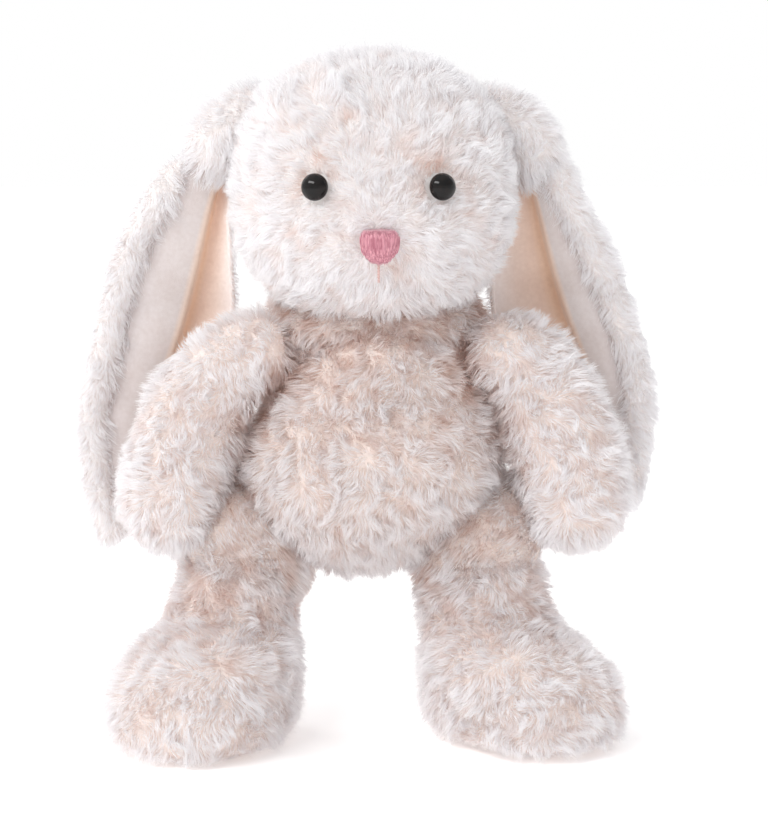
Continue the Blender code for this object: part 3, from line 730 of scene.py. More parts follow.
def pile(name, roots, looks, ways, lengths, surface, seed, holder, **tufting):
    """Grows the pile on the roots, in pieces small enough, and gives each piece to holder.

    Lengths is one length or one for each root."""
    lines, tone = grown(roots, looks, ways, lengths, seed, **tufting)
    lines[:, :, 2] = np.maximum(lines[:, :, 2], FLOOR_GAP)
    order = np.argsort(roots[:, 1], kind="stable")
    parts = math.ceil(len(roots) / MOST_STRANDS)
    for index, part in enumerate(np.array_split(order, parts)):
        label = name if parts == 1 else f"{name}_{index + 1}"
        mesh = strand_mesh(label, lines[part], looks[part], tone[part], seed + index)
        piece = linked(label, mesh, surface)
        holder(piece)


def riding(body):
    return lambda piece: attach(piece, body)


def closeness(roots, skins, reach):
    """How near each root lies to other skins: one where they touch, falling to nothing past reach."""
    tree = KDTree(sum(len(skin.data.vertices) for skin in skins))
    for skin in skins:
        for vertex in skin.data.vertices:
            tree.insert(vertex.co, 0)
    tree.balance()
    far = np.fromiter((tree.find(root)[2] for root in roots), float, len(roots))
    return np.exp(-((far / reach) ** 2))


# --- Head -----------------------------------------------------------------------------

HEAD_NODES = ("head_left_panel", "head_right_panel", "head_gusset_panel", "head_stuffing")
TORSO_NODES = ("body_front_panel", "body_back_panel", "body_stuffing")


def limb_nodes(kind, side):
    panel = {"arm": ("front_panel", "back_panel"), "leg": ("outer_panel", "inner_panel", "sole")}[kind]
    return tuple(f"{kind}_{side}_{part}" for part in (*panel, "stuffing"))


SKINS = {
    "head": bag("head_skin", HEAD_NODES, HEAD_BACKING),
    "torso": bag("torso_skin", TORSO_NODES, BODY_BACKING),
}
for side, sign in SIDES:
    for kind in ("arm", "leg"):
        SKINS[f"{kind}_{side}"] = bag(f"{kind}_{side}_skin", limb_nodes(kind, side), BODY_BACKING)
SKINS["tail"] = bag("tail_skin", ("tail_cover", "tail_stuffing"), BODY_BACKING)
swell(list(SKINS.values()))
for side, sign in SIDES:
    arm = middle_of(f"arm_{side}_closing_thread")
    inner = np.array([arm.x + sign * 0.020, arm.y, arm.z - 0.042])
    pushed(SKINS[f"arm_{side}"], inner, (0.020, 0.030, 0.033), (-sign * 0.0065, 0.0, -0.0015))
    low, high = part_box(f"leg_{side}_stuffing")
    toes = np.array([(low.x + high.x) / 2, low.y + 0.015, 0.042])
    outer = np.array([high.x if sign > 0 else low.x, (low.y + high.y) / 2 - 0.012, 0.036])
    pushed(SKINS[f"leg_{side}"], toes, (0.040, 0.024, 0.016), (0.0, -0.002, 0.0050))
    pushed(SKINS[f"leg_{side}"], outer, (0.022, 0.036, 0.024), (sign * 0.0060, 0.0, 0.0010))
leaned(SKINS["leg_right"], 0.100, 0.045, (-0.0045, 0.0, 0.0))
leaned(SKINS["leg_left"], 0.070, 0.035, (0.0030, 0.0, 0.0))
crown = middle_of("head_stuffing") + Vector((0.0, 0.0, 0.055))
pushed(SKINS["head"], np.array(crown), (0.045, 0.050, 0.030), (0.0, 0.0, 0.0012))
collar = middle_of("neck_closing_thread") + Vector((-0.002, -0.026, -0.004))
pushed(SKINS["torso"], np.array(collar), (0.042, 0.030, 0.022), (0.0, -0.0050, 0.0060))
finished_skin(SKINS["head"], "head", HEAD_NODES)
finished_skin(SKINS["torso"], "torso", TORSO_NODES)
finished_skin(SKINS["tail"], "torso", ("tail_cover", "tail_stuffing"))
for side, sign in SIDES:
    for kind in ("arm", "leg"):
        finished_skin(SKINS[f"{kind}_{side}"], f"{kind}_{side}", limb_nodes(kind, side))


NOSE_CENTRE, NOSE_LOOK = plate_frame("nose_embroidery", (0.0, -1.0, 0.0))
NOSE_CENTRE += Vector((0.0, 0.0, -0.0022))
NOSE_LOW, NOSE_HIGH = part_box("nose_embroidery")
NOSE_HALF = Vector(((NOSE_HIGH.x - NOSE_LOW.x) / 2, 0.0, (NOSE_HIGH.z - NOSE_LOW.z) / 2))
HEAD_CENTRE = middle_of("head_stuffing")
EYE_RADIUS = 0.0060
EYE_BULGE = 0.0050
EYE_SINK = 0.0048  # from the front of the CAD's dome back to the fabric
EYE_LIFT = 0.0012  # the dome's edge stands this far off the fabric
EYE_MARGIN = 1.08  # no strand starts within this many radii of the eye
EYE_FADE = 0.0042  # over which the pile grows back to its length
NOSE_SPACE = 0.008  # half depth of the room that the pile leaves for the nose
MOUTH_PARTING = 0.0020  # half width of the parting below the nose
MOUTH_SPAN = (-0.002, 0.009)  # of that parting, down from the nose


def eye_seat(side):
    """Where the eye's dome meets the fabric, and the way that it looks."""
    points = np.array([v.co for v in NODES[f"eye_{side}"].data.vertices])
    washer = np.array(middle_of(f"eye_{side}_washer"))
    front = points[np.argsort(np.linalg.norm(points - washer, axis=1))[-1]]
    centre = points.mean(0)
    look = unit(front - washer)
    return Vector(centre + look * ((front - centre) @ look - EYE_SINK)), Vector(look)


EYES = {side: eye_seat(side) for side, sign in SIDES}


def gaps_on_face(roots, lengths, ways, looks):
    """Shortens the pile round the eyes and the nose and turns it away from them."""
    keep = np.ones(len(roots), bool)
    for side, sign in SIDES:
        away = roots - np.array(EYES[side][0])
        far = np.linalg.norm(away, axis=1)
        keep &= far > EYE_RADIUS * EYE_MARGIN
        near = np.exp(-np.maximum(far - EYE_RADIUS, 0) / EYE_FADE)
        lengths = lengths * (1 - 0.62 * near)
        ways = ways + unit(away) * (1.9 * near)[:, None]
    away = roots - np.array(NOSE_CENTRE)
    flat = away * (1 / NOSE_HALF.x, 1 / NOSE_SPACE, 1 / NOSE_HALF.z)
    far = np.linalg.norm(flat, axis=1)
    keep &= far > 1.0
    lengths = lengths * np.clip(0.50 + 0.40 * (far - 1.0), 0.5, 1.0)
    drop = NOSE_CENTRE.z - NOSE_HALF.z - roots[:, 2]
    front = roots[:, 1] < NOSE_CENTRE.y + 0.02
    below = (drop > MOUTH_SPAN[0]) & (drop < MOUTH_SPAN[1]) & front
    parting = np.exp(-(((roots[:, 0] - NOSE_CENTRE.x) / MOUTH_PARTING) ** 2)) * below
    lengths = lengths * (1 - 0.65 * parting)
    ways = unit(ways - (ways * looks).sum(1, keepdims=True) * looks)
    return keep, lengths, ways


def head_pile():
    roots, looks = roots_on(SKINS["head"], STRANDS_PER_M2 * 1.12, 11)
    away = unit(roots - np.array(NOSE_CENTRE))
    rear = np.clip((roots[:, 1] - HEAD_CENTRE.y) / 0.05, 0, 1)[:, None]
    way = away * (1 - rear) + np.array([0.0, 0.25, -1.0]) * rear
    ways = combed(roots, looks, way, 12, 0.80)
    lengths = PILE_LENGTH["head"] * (1 - 0.12 * np.abs(looks[:, 0]) ** 3)
    keep, lengths, ways = gaps_on_face(roots, lengths, ways, looks)
    shadow = np.zeros(len(roots))
    for side, sign in SIDES:
        spot = np.array(EYES[side][0]) + (-0.002, 0.0, 0.004)
        shadow += 0.50 * np.exp(-((np.linalg.norm(roots - spot, axis=1) / 0.0115) ** 2))
    shadow += 0.30 * closeness(roots, [SKINS["torso"]], 0.024)
    lip = np.array(NOSE_CENTRE) + (0.0, 0.0, -NOSE_HALF.z - 0.004)
    shadow += 0.45 * np.exp(-(np.linalg.norm((roots - lip) / (0.004, 0.012, 0.007), axis=1) ** 2))
    pile(
        "head_fur", roots[keep], looks[keep], ways[keep], lengths[keep], HEAD_PILE, 13, riding("head"),
        shadow=shadow[keep],
    )


head_pile()


# --- Eyes, nose and mouth -------------------------------------------------------------


def revolved(name, profile, seat, look, surface, around=40):
    """A turned solid: (radius, height) from its top to its bottom, about the way it looks."""
    shape = bmesh.new()
    top = shape.verts.new((0, 0, profile[0][1]))
    rings = []
    turns = [(math.cos(math.tau * k / around), math.sin(math.tau * k / around)) for k in range(around)]
    for radius, height in profile[1:]:
        rings.append([shape.verts.new((radius * x, radius * y, height)) for x, y in turns])
    for k in range(around):
        shape.faces.new((top, rings[0][k], rings[0][(k + 1) % around]))
    for high, low in zip(rings, rings[1:]):
        for k in range(around):
            after = (k + 1) % around
            shape.faces.new((high[k], low[k], low[after], high[after]))
    shape.faces.new(rings[-1][::-1])
    made = object_of(name, shape, surface)
    made.data.transform(Matrix.Translation(seat) @ look.to_track_quat("Z", "Y").to_matrix().to_4x4())
    return smooth(made)


def make_eye(side):
    seat, look = EYES[side]
    seat = seat + look * EYE_LIFT
    arc = [math.radians(a) for a in range(84, -1, -7)]
    dome = [(0.0, EYE_BULGE)] + [(EYE_RADIUS * math.cos(a), EYE_BULGE * math.sin(a)) for a in arc]
    dome += [(EYE_RADIUS * 0.985, -0.0006), (EYE_RADIUS * 0.90, -0.0012)]
    dome += [(0.0024, -0.0020), (0.0020, -0.0105)]  # the stem
    placed(revolved(f"eye_{side}_bead", dome, seat, look, EYE_BLACK), "head", "black_eye", f"eye_{side}")


def tube(shape, points, radius, sides=6, ends=0.35):
    """Adds a closed tube along points to a bmesh, thinner at its ends."""
    rows = []
    last = len(points) - 1
    for k, point in enumerate(points):
        tangent = (points[min(k + 1, last)] - points[max(k - 1, 0)]).normalized()
        one = tangent.orthogonal() if k == 0 else one - tangent * one.dot(tangent)
        one.normalize()
        two = tangent.cross(one)
        size = radius * (ends if k in (0, last) else 1.0)
        turns = [math.tau * n / sides for n in range(sides)]
        ring = [point + (one * math.cos(t) + two * math.sin(t)) * size for t in turns]
        rows.append([shape.verts.new(place) for place in ring])
    for low, high in zip(rows, rows[1:]):
        for n in range(sides):
            after = (n + 1) % sides
            shape.faces.new((low[n], low[after], high[after], high[n]))
    shape.faces.new(rows[0][::-1])
    shape.faces.new(rows[-1])


NOSE_STITCHES = 29
NOSE_THREAD_RADIUS = 0.00034
NOSE_LIFT = 0.0050
NOSE_TAPER = 0.13  # narrower at the bottom by this share
NOSE_PAD_DEPTH = 0.0025
STITCH_STEPS = 10
PAD_POINTS = 13  # across the pad, and from its top to its bottom
MOUTH_THREAD_RADIUS = 0.00036
MOUTH_SWAY = 0.00035  # of each strand about the other
MOUTH_HALF_TURNS = 9.0
MOUTH_BOW = 0.0012
MOUTH_STEPS = 24


def nose_edge(x):
    """Lowest and highest edge of the nose at a share from -1 to 1 of its half width."""
    high = 0.93 - 0.10 * abs(x) ** 2.2 - 0.75 * max(0.0, abs(x) - 0.80) ** 1.4 * 4
    low = -1.0 + 0.30 * abs(x) ** 2 + 0.75 * max(0.0, abs(x) - 0.35) ** 1.6
    return low, high


def nose_crown(t):
    """How far the nose stands out, from its top (0) to its bottom (1): fullest above its middle."""
    return math.sin(math.pi * min(max(t, 0.03), 0.97) ** 0.80) ** 0.60


def make_nose():
    """Upright satin stitches side by side over a low pad."""
    rng = np.random.default_rng(31)
    up = (Vector((0, 0, 1)) - NOSE_LOOK * NOSE_LOOK.z).normalized()
    across = up.cross(NOSE_LOOK)
    if across.x < 0:
        across.negate()
    half_up = NOSE_HALF.z * 1.03
    shape = bmesh.new()
    for k in range(NOSE_STITCHES):
        share = -1 + 2 * (k + 0.5) / NOSE_STITCHES
        low, high = nose_edge(share)
        jitter = rng.uniform(-0.03, 0.03, 2)
        line = []
        for n in range(STITCH_STEPS + 1):
            t = n / STITCH_STEPS
            y = high + jitter[0] + (low + jitter[1] - high) * t
            narrow = 1.0 - NOSE_TAPER * t * t
            crown = max(0.0, 1 - (share * 0.93) ** 2) ** 0.5 * nose_crown(t) + rng.uniform(-0.02, 0.02)
            place = NOSE_CENTRE + across * (share * narrow * NOSE_HALF.x) + up * (y * half_up)
            line.append(place + NOSE_LOOK * (NOSE_LIFT * crown + 0.0004))
        tube(shape, line, NOSE_THREAD_RADIUS * rng.uniform(0.92, 1.12), 7)
    nose = smooth(object_of("nose_satin_stitch", shape, NOSE_PINK))
    placed(nose, "head", "nose_thread", "nose_embroidery")
    rows = []
    for k in range(PAD_POINTS):
        share = -0.93 + 1.86 * k / (PAD_POINTS - 1)
        low, high = nose_edge(share)
        row = []
        for n in range(PAD_POINTS):
            t = 0.02 + 0.96 * n / (PAD_POINTS - 1)
            lift = NOSE_LIFT * max(0.0, 1 - share**2) ** 0.5 * nose_crown(t)
            place = across * (share * (1.0 - NOSE_TAPER * t * t) * NOSE_HALF.x)
            place += up * ((high + (low - high) * t) * half_up)
            row.append(NOSE_CENTRE + place + NOSE_LOOK * (lift - 0.0001))
        rows.append(row)
    front = np.array([[tuple(p) for p in row] for row in rows]).reshape(-1, 3)
    look = np.array(NOSE_LOOK)
    back = front + look * (((np.array(NOSE_CENTRE) - front) @ look) - NOSE_PAD_DEPTH)[:, None]
    pad = quilt("nose_pad", front, back, PAD_POINTS, PAD_POINTS, NOSE_PINK)
    placed(pad, "head", "nose_thread")


def make_mouth():
    """Two strands of floss twisted together, down from the nose."""
    low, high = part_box("mouth_stitch")
    top = Vector(((low.x + high.x) / 2, low.y + 0.0002, high.z + 0.001))
    bottom = Vector(((low.x + high.x) / 2, high.y - 0.0002, low.z))
    shape = bmesh.new()
    for strand in (0.0, math.pi):
        line = []
        for k in range(MOUTH_STEPS + 1):
            t = k / MOUTH_STEPS
            turn = strand + MOUTH_HALF_TURNS * t * math.pi
            sway = Vector((math.cos(turn), math.sin(turn), 0.0)) * MOUTH_SWAY
            bow = Vector((0, -MOUTH_BOW * math.sin(math.pi * t), 0))
            line.append(top.lerp(bottom, t) + bow + sway)
        tube(shape, line, MOUTH_THREAD_RADIUS)
    mouth = smooth(object_of("mouth_floss", shape, MOUTH_PINK))
    placed(mouth, "head", "nose_thread", "mouth_stitch")


for side, sign in SIDES:
    make_eye(side)
make_nose()
make_mouth()


# --- Torso and limbs ------------------------------------------------------------------

NECK_SIZE = (0.024, 0.049, 0.032)  # half height, half width and half depth of the neck pad
HIP_SIZE = (0.027, 0.033, 0.027)  # half length along the hip's axis, half width and half depth
HIP_OUT = 0.009  # from the closing thread along the hip's axis
HIP_UP = 0.006


def downward(roots, outward=0.0):
    way = np.tile(np.array([0.0, 0.0, -1.0]), (len(roots), 1))
    way[:, 0] += outward * np.sign(roots[:, 0])
    return way


def torso_pile():
    roots, looks = roots_on(SKINS["torso"], STRANDS_PER_M2, 21)
    ways = combed(roots, looks, downward(roots), 22, 1.05)
    limbs = [SKINS[f"{kind}_{side}"] for kind in ("arm", "leg") for side, sign in SIDES]
    shadow = 0.65 * closeness(roots, limbs, 0.011) + 0.35 * closeness(roots, [SKINS["head"]], 0.022)
    shadow += 0.10 * np.clip((roots[:, 2] - 0.125) / 0.03, 0, 1)
    lengths = PILE_LENGTH["torso"]
    pile("torso_fur", roots, looks, ways, lengths, BODY_PILE, 23, riding("torso"), shadow=shadow)


def tail_pile():
    roots, looks = roots_on(SKINS["tail"], STRANDS_PER_M2 * 1.2, 26)
    ways = combed(roots, looks, downward(roots), 27, 1.2)
    pile("tail_fur", roots, looks, ways, PILE_LENGTH["tail"], BODY_PILE, 28, riding("torso"))


def arm_pile(side, sign):
    roots, looks = roots_on(SKINS[f"arm_{side}"], STRANDS_PER_M2, 41 + sign)
    ways = combed(roots, looks, downward(roots, outward=0.35), 45 + sign, 1.0)
    shadow = 0.85 * closeness(roots, [SKINS["torso"]], 0.012)
    body, lengths = f"arm_{side}", PILE_LENGTH["limb"]
    pile(f"{body}_fur", roots, looks, ways, lengths, LIMB_PILE, 48 + sign, riding(body), shadow=shadow)


def leg_pile(side, sign):
    roots, looks = roots_on(SKINS[f"leg_{side}"], STRANDS_PER_M2, 51 + sign)
    foot = np.clip((0.055 - roots[:, 2]) / 0.03, 0, 1)
    way = downward(roots) * (1 - 0.75 * foot)[:, None]
    heel = np.array([*(middle_of(f"leg_{side}_sole").xy), 0.0]) + np.array([0.0, 0.03, 0.03])
    way += unit(roots - heel) * (0.9 * foot)[:, None]
    ways = combed(roots, looks, way, 55 + sign, 1.0)
    under = (looks[:, 2] < -0.7) & (roots[:, 2] < 0.01)
    lengths = np.where(under, PILE_LENGTH["sole"], PILE_LENGTH["limb"])
    shadow = 0.20 * np.clip((roots[:, 2] - 0.045) / 0.02, 0, 1)
    shadow += 0.50 * closeness(roots, [SKINS["torso"]], 0.014)
    body = f"leg_{side}"
    pile(f"{body}_fur", roots, looks, ways, lengths, LIMB_PILE, 58 + sign, riding(body), shadow=shadow)


def bending():
    return lambda piece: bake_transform(piece)


def neck_pad():
    """The soft neck that fills the wedge between chin, chest and shoulders."""
    centre = np.array(middle_of("neck_closing_thread")) + (-0.002, 0.0, 0.006)
    pad = egg("neck_skin", centre, (0, 0, 1), *NECK_SIZE, BODY_BACKING)
    roots, looks = roots_on(pad, STRANDS_PER_M2, 61)
    open_air = np.abs(roots[:, 2] - centre[2]) < 0.019
    roots, looks = roots[open_air], looks[open_air]
    ways = combed(roots, looks, downward(roots), 62, 0.8)
    bends = bending()
    pile("neck_fur", roots, looks, ways, PILE_LENGTH["neck"], BODY_PILE, 63, bends, shadow=0.30)
    bends(pad)


def hip_pad(side, sign):
    """The soft hip between torso and leg. Its pile keeps to the planes across the hip's axis."""
    away = np.array([sign, 0.0, -1.0]) / math.sqrt(2)
    up = np.array([sign, 0.0, 1.0]) / math.sqrt(2)
    seat = np.array(middle_of(f"leg_{side}_closing_thread"))
    centre = seat + away * HIP_OUT + up * HIP_UP
    pad = egg(f"hip_{side}_skin", centre, away, *HIP_SIZE, BODY_BACKING)
    roots, looks = roots_on(pad, STRANDS_PER_M2, 65 + sign)
    ways = combed(roots, looks, downward(roots), 67 + sign, 0.8)
    bends = bending()
    name, lengths = f"hip_{side}_fur", PILE_LENGTH["hip"]
    pile(name, roots, looks, ways, lengths, BODY_PILE, 69 + sign, bends, level=away, shadow=0.15)
    bends(pad)


torso_pile()
tail_pile()
neck_pad()
for side, sign in SIDES:
    arm_pile(side, sign)
    leg_pile(side, sign)
    hip_pad(side, sign)


# --- Ears -----------------------------------------------------------------------------

# An open ear, from root to tip: below its pivot, then outward from it to the rolled rim, to the
# ridge of the lining and to the inner edge
EAR_ROWS = np.array(
    [
        (0.028, 0.0290, 0.0180, 0.0090),
        (0.051, 0.0380, 0.0245, 0.0060),
        (0.075, 0.0500, 0.0305, 0.0050),
        (0.091, 0.0572, 0.0350, 0.0045),
        (0.108, 0.0630, 0.0405, 0.0060),
        (0.127, 0.0690, 0.0480, 0.0120),
        (0.145, 0.0720, 0.0550, 0.0200),
        (0.163, 0.0720, 0.0590, 0.0310),
        (0.182, 0.0700, 0.0605, 0.0440),
        (0.195, 0.0655, 0.0620, 0.0570),
    ]
)
# The closed root of the ear: outward from the pivot, below it, and its radius
EAR_ROOT = np.array(
    [
        (-0.0100, 0.0125, 0.0105),
        (0.0040, 0.0110, 0.0126),
        (0.0130, 0.0160, 0.0132),
        (0.0195, 0.0230, 0.0128),
        (0.0235, 0.0300, 0.0114),
        (0.0252, 0.0345, 0.0055),
    ]
)
EAR_REACH = 0.193  # from the pivot to where the CAD's ear ends
EAR_RIM = 0.0064  # radius of the rolled rim
EAR_HOLLOW = 0.010  # depth of the cleft behind the ridge
EAR_WADDING = 0.005
EAR_TUFT = 0.011
RIM_TUFT = 0.0115
HEAD_REACH = 0.046  # strands nearer the toy's middle than this lie inside the head
EAR_SET_BACK = 0.010
EAR_EDGING = 0.0012  # radius of the velour's inner edge
EAR_STEPS = 60  # along the rim and the edge
EAR_ROOT_STEPS = 30
EAR_WIDER = {"left": 0.0, "right": 0.0135}  # the right ear's rim reaches up to this much further out
EAR_WIDER_COURSE = ((0.0, 0.12, 0.22, 0.44, 1.0), (0.4, 1.0, 1.0, 0.67, 0.38))
EAR_NARROWER = {"left": 0.0, "right": 0.010}  # the right ear's inner wall ends this much sooner
EAR_SCALE = {
    side: (PIVOT[f"ear_{side}_lift"].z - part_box(f"ear_{side}_fur")[0].z) / EAR_REACH
    for side, sign in SIDES
}
EAR_SHARES = np.linspace(0.0, 1.0, 72)
EAR_ACROSSES = np.concatenate(
    [np.linspace(-1.0, 0.0, 20), np.linspace(0.0, 0.14, 12)[1:], np.linspace(0.14, 1.0, 20)[1:]]
)


def ear_line(side, sign, share, column):
    """The rolled rim (1), the ridge (2) or the inner edge (3) at shares of the way from root to tip."""
    rows = through(EAR_ROWS, share)
    if column == 1:
        rows[:, 1] += EAR_WIDER[side] * np.interp(share, *EAR_WIDER_COURSE)
    if column == 3:
        rows[:, 3] += EAR_NARROWER[side] * np.clip((rows[:, 2] - rows[:, 3]) / 0.02, 0, 1)
    back = EAR_SET_BACK * np.clip(share / 0.35, 0, 1) ** 1.5
    line = np.stack([sign * rows[:, column], back, -EAR_SCALE[side] * rows[:, 0]], axis=1)
    return line + np.array(PIVOT[f"ear_{side}_lift"])


def ear_lining(side, sign, share, across):
    """Across is -1 at the rolled rim, 0 at the ridge and 1 at the inner edge.

    The cleft lies behind the ridge."""
    rim, ridge, inner = (ear_line(side, sign, share, column) for column in (1, 2, 3))
    to_rim = np.maximum(-across, 0)[:, None]
    to_inner = np.maximum(across, 0)[:, None]
    place = ridge + (rim - ridge) * to_rim + (inner - ridge) * to_inner
    open_share = np.clip((1 - share) / 0.25, 0, 1)
    hollow = EAR_HOLLOW * (1 - np.exp(-to_inner[:, 0] / 0.05)) * (1 - 0.75 * to_inner[:, 0] ** 1.6)
    place[:, 1] += hollow * open_share - 0.0032 * np.sin(math.pi * to_rim[:, 0]) * open_share
    return place


def ear_back(side, sign, share, across):
    """The backing of the ear's furred side."""
    place = ear_lining(side, sign, share, across)
    level = ear_line(side, sign, share, 2)[:, 1]
    fullness = np.clip((across + 1) / 0.9, 0, 1)
    fullness = fullness * fullness * (3 - 2 * fullness) * (1 - 0.95 * np.maximum(across, 0) ** 2)
    rear = level + 0.0015 + (EAR_HOLLOW + EAR_WADDING) * fullness * np.clip((1 - share) / 0.15, 0.1, 1)
    place[:, 1] = np.maximum(rear, place[:, 1] + 0.0020)
    return place


def charted(obj, chart):
    """Gives the mesh its lining map, from a place for each vertex."""
    corner = np.empty(len(obj.data.loops), np.int32)
    obj.data.loops.foreach_get("vertex_index", corner)
    layer = obj.data.uv_layers.new(name="Lining")
    layer.data.foreach_set("uv", chart[corner].astype(np.float32).ravel())


def make_ear(side, sign):
    body = f"ear_{side}"
    pivot = np.array(PIVOT[f"{body}_lift"])
    share, across = (g.ravel() for g in np.meshgrid(EAR_SHARES, EAR_ACROSSES, indexing="ij"))
    size = (len(EAR_SHARES), len(EAR_ACROSSES))
    lining = ear_lining(side, sign, share, across)
    under = np.array([0.0004 * sign, 0.0008, 0.0])
    back = ear_back(side, sign, share, across)
    skin = quilt(f"{body}_skin", lining + under, back, *size, HEAD_BACKING)
    velour = quilt(f"{body}_velour", lining - under, lining + under * 0.5, *size, VELOUR)
    charted(velour, np.tile(np.stack([(across + 1) / 2, share], axis=1), (2, 1)))
    shares = np.linspace(0.0, 1.0, EAR_STEPS)
    edge = ear_lining(side, sign, shares, np.ones(EAR_STEPS))
    thin = np.full(EAR_STEPS, EAR_EDGING)
    edging = swept(f"{body}_edging", edge, thin, thin, VELOUR, around=10)
    # painted light: the edging takes the light colour of the velour's inner edge
    charted(edging, np.full((len(edging.data.vertices), 2), 0.98))
    rim_path = ear_line(side, sign, shares, 1)
    rim_size = EAR_RIM * np.clip(shares / 0.05, 0.3, 1)
    rim_size[-1] *= 0.5
    rim = swept(f"{body}_rim", rim_path, rim_size, rim_size, HEAD_BACKING, around=16)
    out, drop, thick = through(EAR_ROOT, np.linspace(0, 1, EAR_ROOT_STEPS)).T
    root_path = pivot + np.stack([sign * out, np.full(EAR_ROOT_STEPS, 0.001), -drop], axis=1)
    root = swept(f"{body}_root", root_path, thick, thick, HEAD_BACKING)
    placed(skin, body, "cream_fur", f"{body}_fur")
    placed(rim, body, "cream_fur")
    placed(root, body, "cream_fur")
    placed(velour, body, "ear_velour", f"{body}_lining")
    placed(edging, body, "ear_velour")
    ear_pile(side, sign, body, skin, rim, root, root_path[-1])
    roots, looks = roots_on(edging, STRANDS_PER_M2, 91 + sign)
    ways = combed(roots, looks, downward(roots, outward=-0.6), 93 + sign, 0.4)
    inward = looks[:, 0] * sign < 0.35
    roots, looks, ways = roots[inward], looks[inward], ways[inward]
    name, lengths = f"{body}_edge_fur", PILE_LENGTH["ear_edge"]
    # painted light: a negative shadow makes the edge fur lighter
    pile(name, roots, looks, ways, lengths, HEAD_PILE, 95 + sign, riding(body), shadow=-0.25)


def ear_pile(side, sign, body, skin, rim, root, root_end):
    """Pile on the ear's back, puffs round its rolled rim, and a fringe where its root opens."""
    seed = 71 + sign
    roots, looks = roots_on(skin, STRANDS_PER_M2, seed, len(skin.data.vertices) // 2)
    ways = combed(roots, looks, downward(roots, outward=0.15), seed + 2, 0.50)
    name, lengths = f"{body}_back_fur", PILE_LENGTH["ear_back"]
    pile(name, roots, looks, ways, lengths, HEAD_PILE, seed + 3, riding(body), tuft=EAR_TUFT)
    rim_roots, rim_looks = roots_on(rim, STRANDS_PER_M2 * 1.3, seed + 10)
    root_roots, root_looks = roots_on(root, STRANDS_PER_M2, seed + 14)
    outer = sign * root_roots[:, 0] > HEAD_REACH
    root_roots, root_looks = root_roots[outer], root_looks[outer]
    roots = np.concatenate([rim_roots, root_roots])
    looks = np.concatenate([rim_looks, root_looks])
    ways = combed(roots, looks, downward(roots, outward=0.30), seed + 12, 0.55)
    lengths = np.full(len(roots), PILE_LENGTH["ear_rim"])
    fringe = np.clip((root_end[2] + 0.010 - root_roots[:, 2]) / 0.008, 0, 1)
    lengths[len(rim_roots) :] += 0.0015 + 0.0040 * fringe
    name, holder = f"{body}_rim_fur", riding(body)
    # painted light: a negative shadow makes the rim and fringe fur lighter
    pile(name, roots, looks, ways, lengths, HEAD_PILE, seed + 13, holder, tuft=RIM_TUFT, shadow=-0.22)


for side, sign in SIDES:
    make_ear(side, sign)


# --- Pieces that keep their CAD shape, and the label -----------------------------------


def dressed(node, surface):
    """Gives a CAD node that shows as it is its surface."""
    NODES[node].data.materials.clear()
    NODES[node].data.materials.append(surface)


LABEL_FOLD_STEPS = 22
LABEL_WIDTH_STEPS = 12
LABEL_HALF_GAP = 0.0012
LABEL_THICKNESS = 0.00025


def make_label():
    """A folded loop of satin ribbon, blank."""
    centre, face = plate_frame("care_label", (1.0, 0.0, 0.0))
    low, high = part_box("care_label")
    up = Vector((0, 0, 1))
    out = face.cross(up).normalized()
    if out.y < 0:
        out.negate()
    width = high.z - low.z
    reach = math.hypot(high.x - low.x, high.y - low.y) * 0.96
    shape = bmesh.new()
    rows = []
    for k in range(LABEL_FOLD_STEPS + 1):
        turn = math.pi * (k / LABEL_FOLD_STEPS) - math.pi / 2
        depth = math.cos(turn) ** 0.6
        off = LABEL_HALF_GAP * math.sin(turn) * (0.35 + 0.65 * math.cos(turn) ** 0.3)
        place = centre - out * (reach / 2) + out * (reach * depth) + face * off
        heights = [width * (n / LABEL_WIDTH_STEPS - 0.5) for n in range(LABEL_WIDTH_STEPS + 1)]
        rows.append([shape.verts.new(place + up * height) for height in heights])
    for a, b in zip(rows, rows[1:]):
        for n in range(LABEL_WIDTH_STEPS):
            shape.faces.new((a[n], a[n + 1], b[n + 1], b[n]))
    label = object_of("label_ribbon", shape, LABEL_SATIN)
    ribbon = label.modifiers.new("ribbon", "SOLIDIFY")
    ribbon.thickness = LABEL_THICKNESS
    placed(smooth(baked(label)), "torso", "label_satin", "care_label")


make_label()
for side, sign in SIDES:
    dressed(f"eye_{side}_washer", WASHER_PLASTIC)
    dressed(f"arm_{side}_closing_thread", SEAM_THREAD)
    dressed(f"leg_{side}_closing_thread", SEAM_THREAD)
dressed("neck_closing_thread", SEAM_THREAD)


# --- Room, light and camera -----------------------------------------------------------


FLOOR_REACH = 6.0
SKY_BRIGHT_WAY = (-0.70, -0.25, 0.67)
SKY_DIM = (0.44, 0.44, 0.46)
SKY_DIM_FROM = -0.6  # cosine from the bright way at which the sky is dimmest
HORIZON_FADE = (0.12, 0.32)  # heights between which the white horizon turns into the sky
# Place, target, width and height in metres, and power in watts
SOFTBOXES = {
    "key": ((-0.95, -1.05, 1.30), (0, 0, 0.18), (1.3, 0.42), 15.0),
    "rim_left": ((1.0, 0.9, 0.9), (0, 0, 0.2), (0.6, 0.9), 3.0),
    "rim_right": ((-1.0, 0.9, 0.9), (0, 0, 0.2), (0.6, 0.9), 4.0),
}
CAMERA_PLACE = (0.0, -1.10, 0.300)
CAMERA_TARGET = (0.005, 0.0, 0.150)
CAMERA_LENS = 105.0
CAMERA_SENSOR = 36.0
CAMERA_NEAR = 0.05


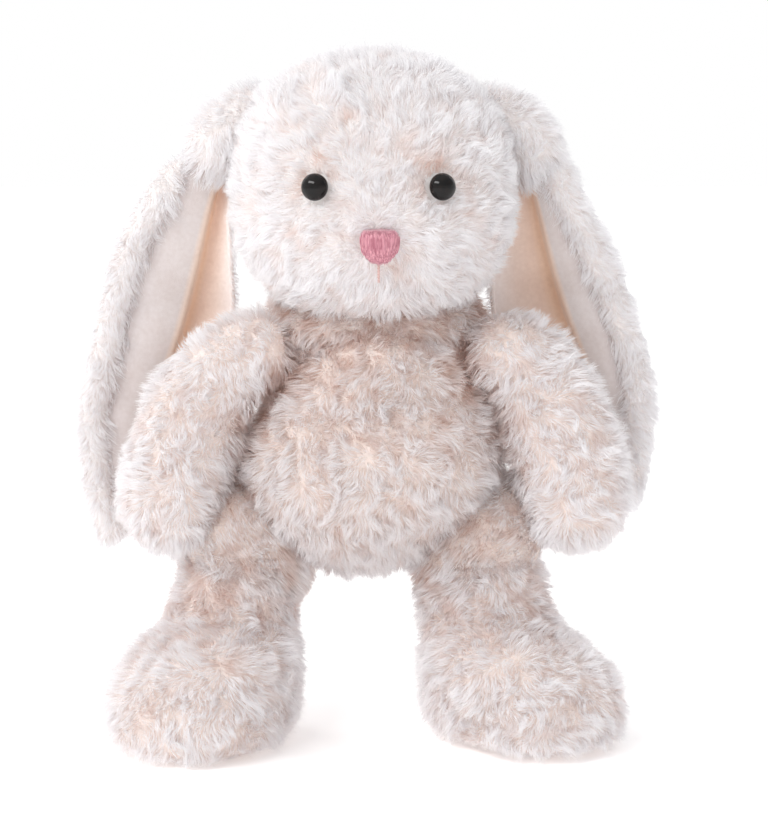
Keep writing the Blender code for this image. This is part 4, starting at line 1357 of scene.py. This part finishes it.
def make_floor():
    mesh = bpy.data.meshes.new("floor")
    far = FLOOR_REACH
    corners = [(-far, -far, 0), (far, -far, 0), (far, far, 0), (-far, far, 0)]
    mesh.from_pydata(corners, [], [(0, 1, 2, 3)])
    floor = linked("floor", mesh, floor_material())
    floor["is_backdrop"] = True


def aimed(name, data, place, target):
    """A light or a camera that looks from a place at a target."""
    made = linked(name, data)
    made.location = place
    made.rotation_euler = (Vector(target) - Vector(place)).to_track_quat("-Z", "Y").to_euler()
    return made


def softbox(name, place, target, size, power):
    light = bpy.data.lights.new(name, "AREA")
    light.shape = "RECTANGLE"
    light.size, light.size_y = size
    light.energy = power
    aimed(name, light, place, target)


def make_world():
    """White all round at the horizon. Higher up it is bright on the left and dim on the right."""
    world = bpy.data.worlds.new("white_room")
    bpy.context.scene.world = world
    world.use_nodes = True
    tree = world.node_tree
    way = new_node(tree, "TexCoord").outputs["Generated"]
    toward = new_node(tree, "VectorMath")
    toward.operation = "DOT_PRODUCT"
    tree.links.new(way, toward.inputs[0])
    toward.inputs[1].default_value = SKY_BRIGHT_WAY
    share = ranged(tree, toward.outputs["Value"], SKY_DIM_FROM, 1.0)
    sky = ramp(tree, share, ((0.0, SKY_DIM), (1.0, UNTINTED)))
    up = new_node(tree, "SeparateXYZ", Vector=way).outputs["Z"]
    colour = mixed(tree, WHITE, sky, ranged(tree, up, *HORIZON_FADE), "MIX")
    fed(tree, tree.nodes["Background"], Color=colour, Strength=1.0)


def make_room():
    make_floor()
    make_world()
    for name, values in SOFTBOXES.items():
        softbox(name, *values)
    settings = bpy.context.scene.view_settings
    settings.view_transform = "Standard"
    settings.look = "None"
    settings.exposure = 0.0
    paths = bpy.context.scene.cycles
    paths.max_bounces = 16
    paths.diffuse_bounces = 10
    paths.transmission_bounces = 10


def make_camera():
    camera = bpy.data.cameras.new("camera")
    camera.lens = CAMERA_LENS
    camera.sensor_width = CAMERA_SENSOR
    camera.clip_start = CAMERA_NEAR
    bpy.context.scene.camera = aimed("camera", camera, CAMERA_PLACE, CAMERA_TARGET)


make_room()
make_camera()

low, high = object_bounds()
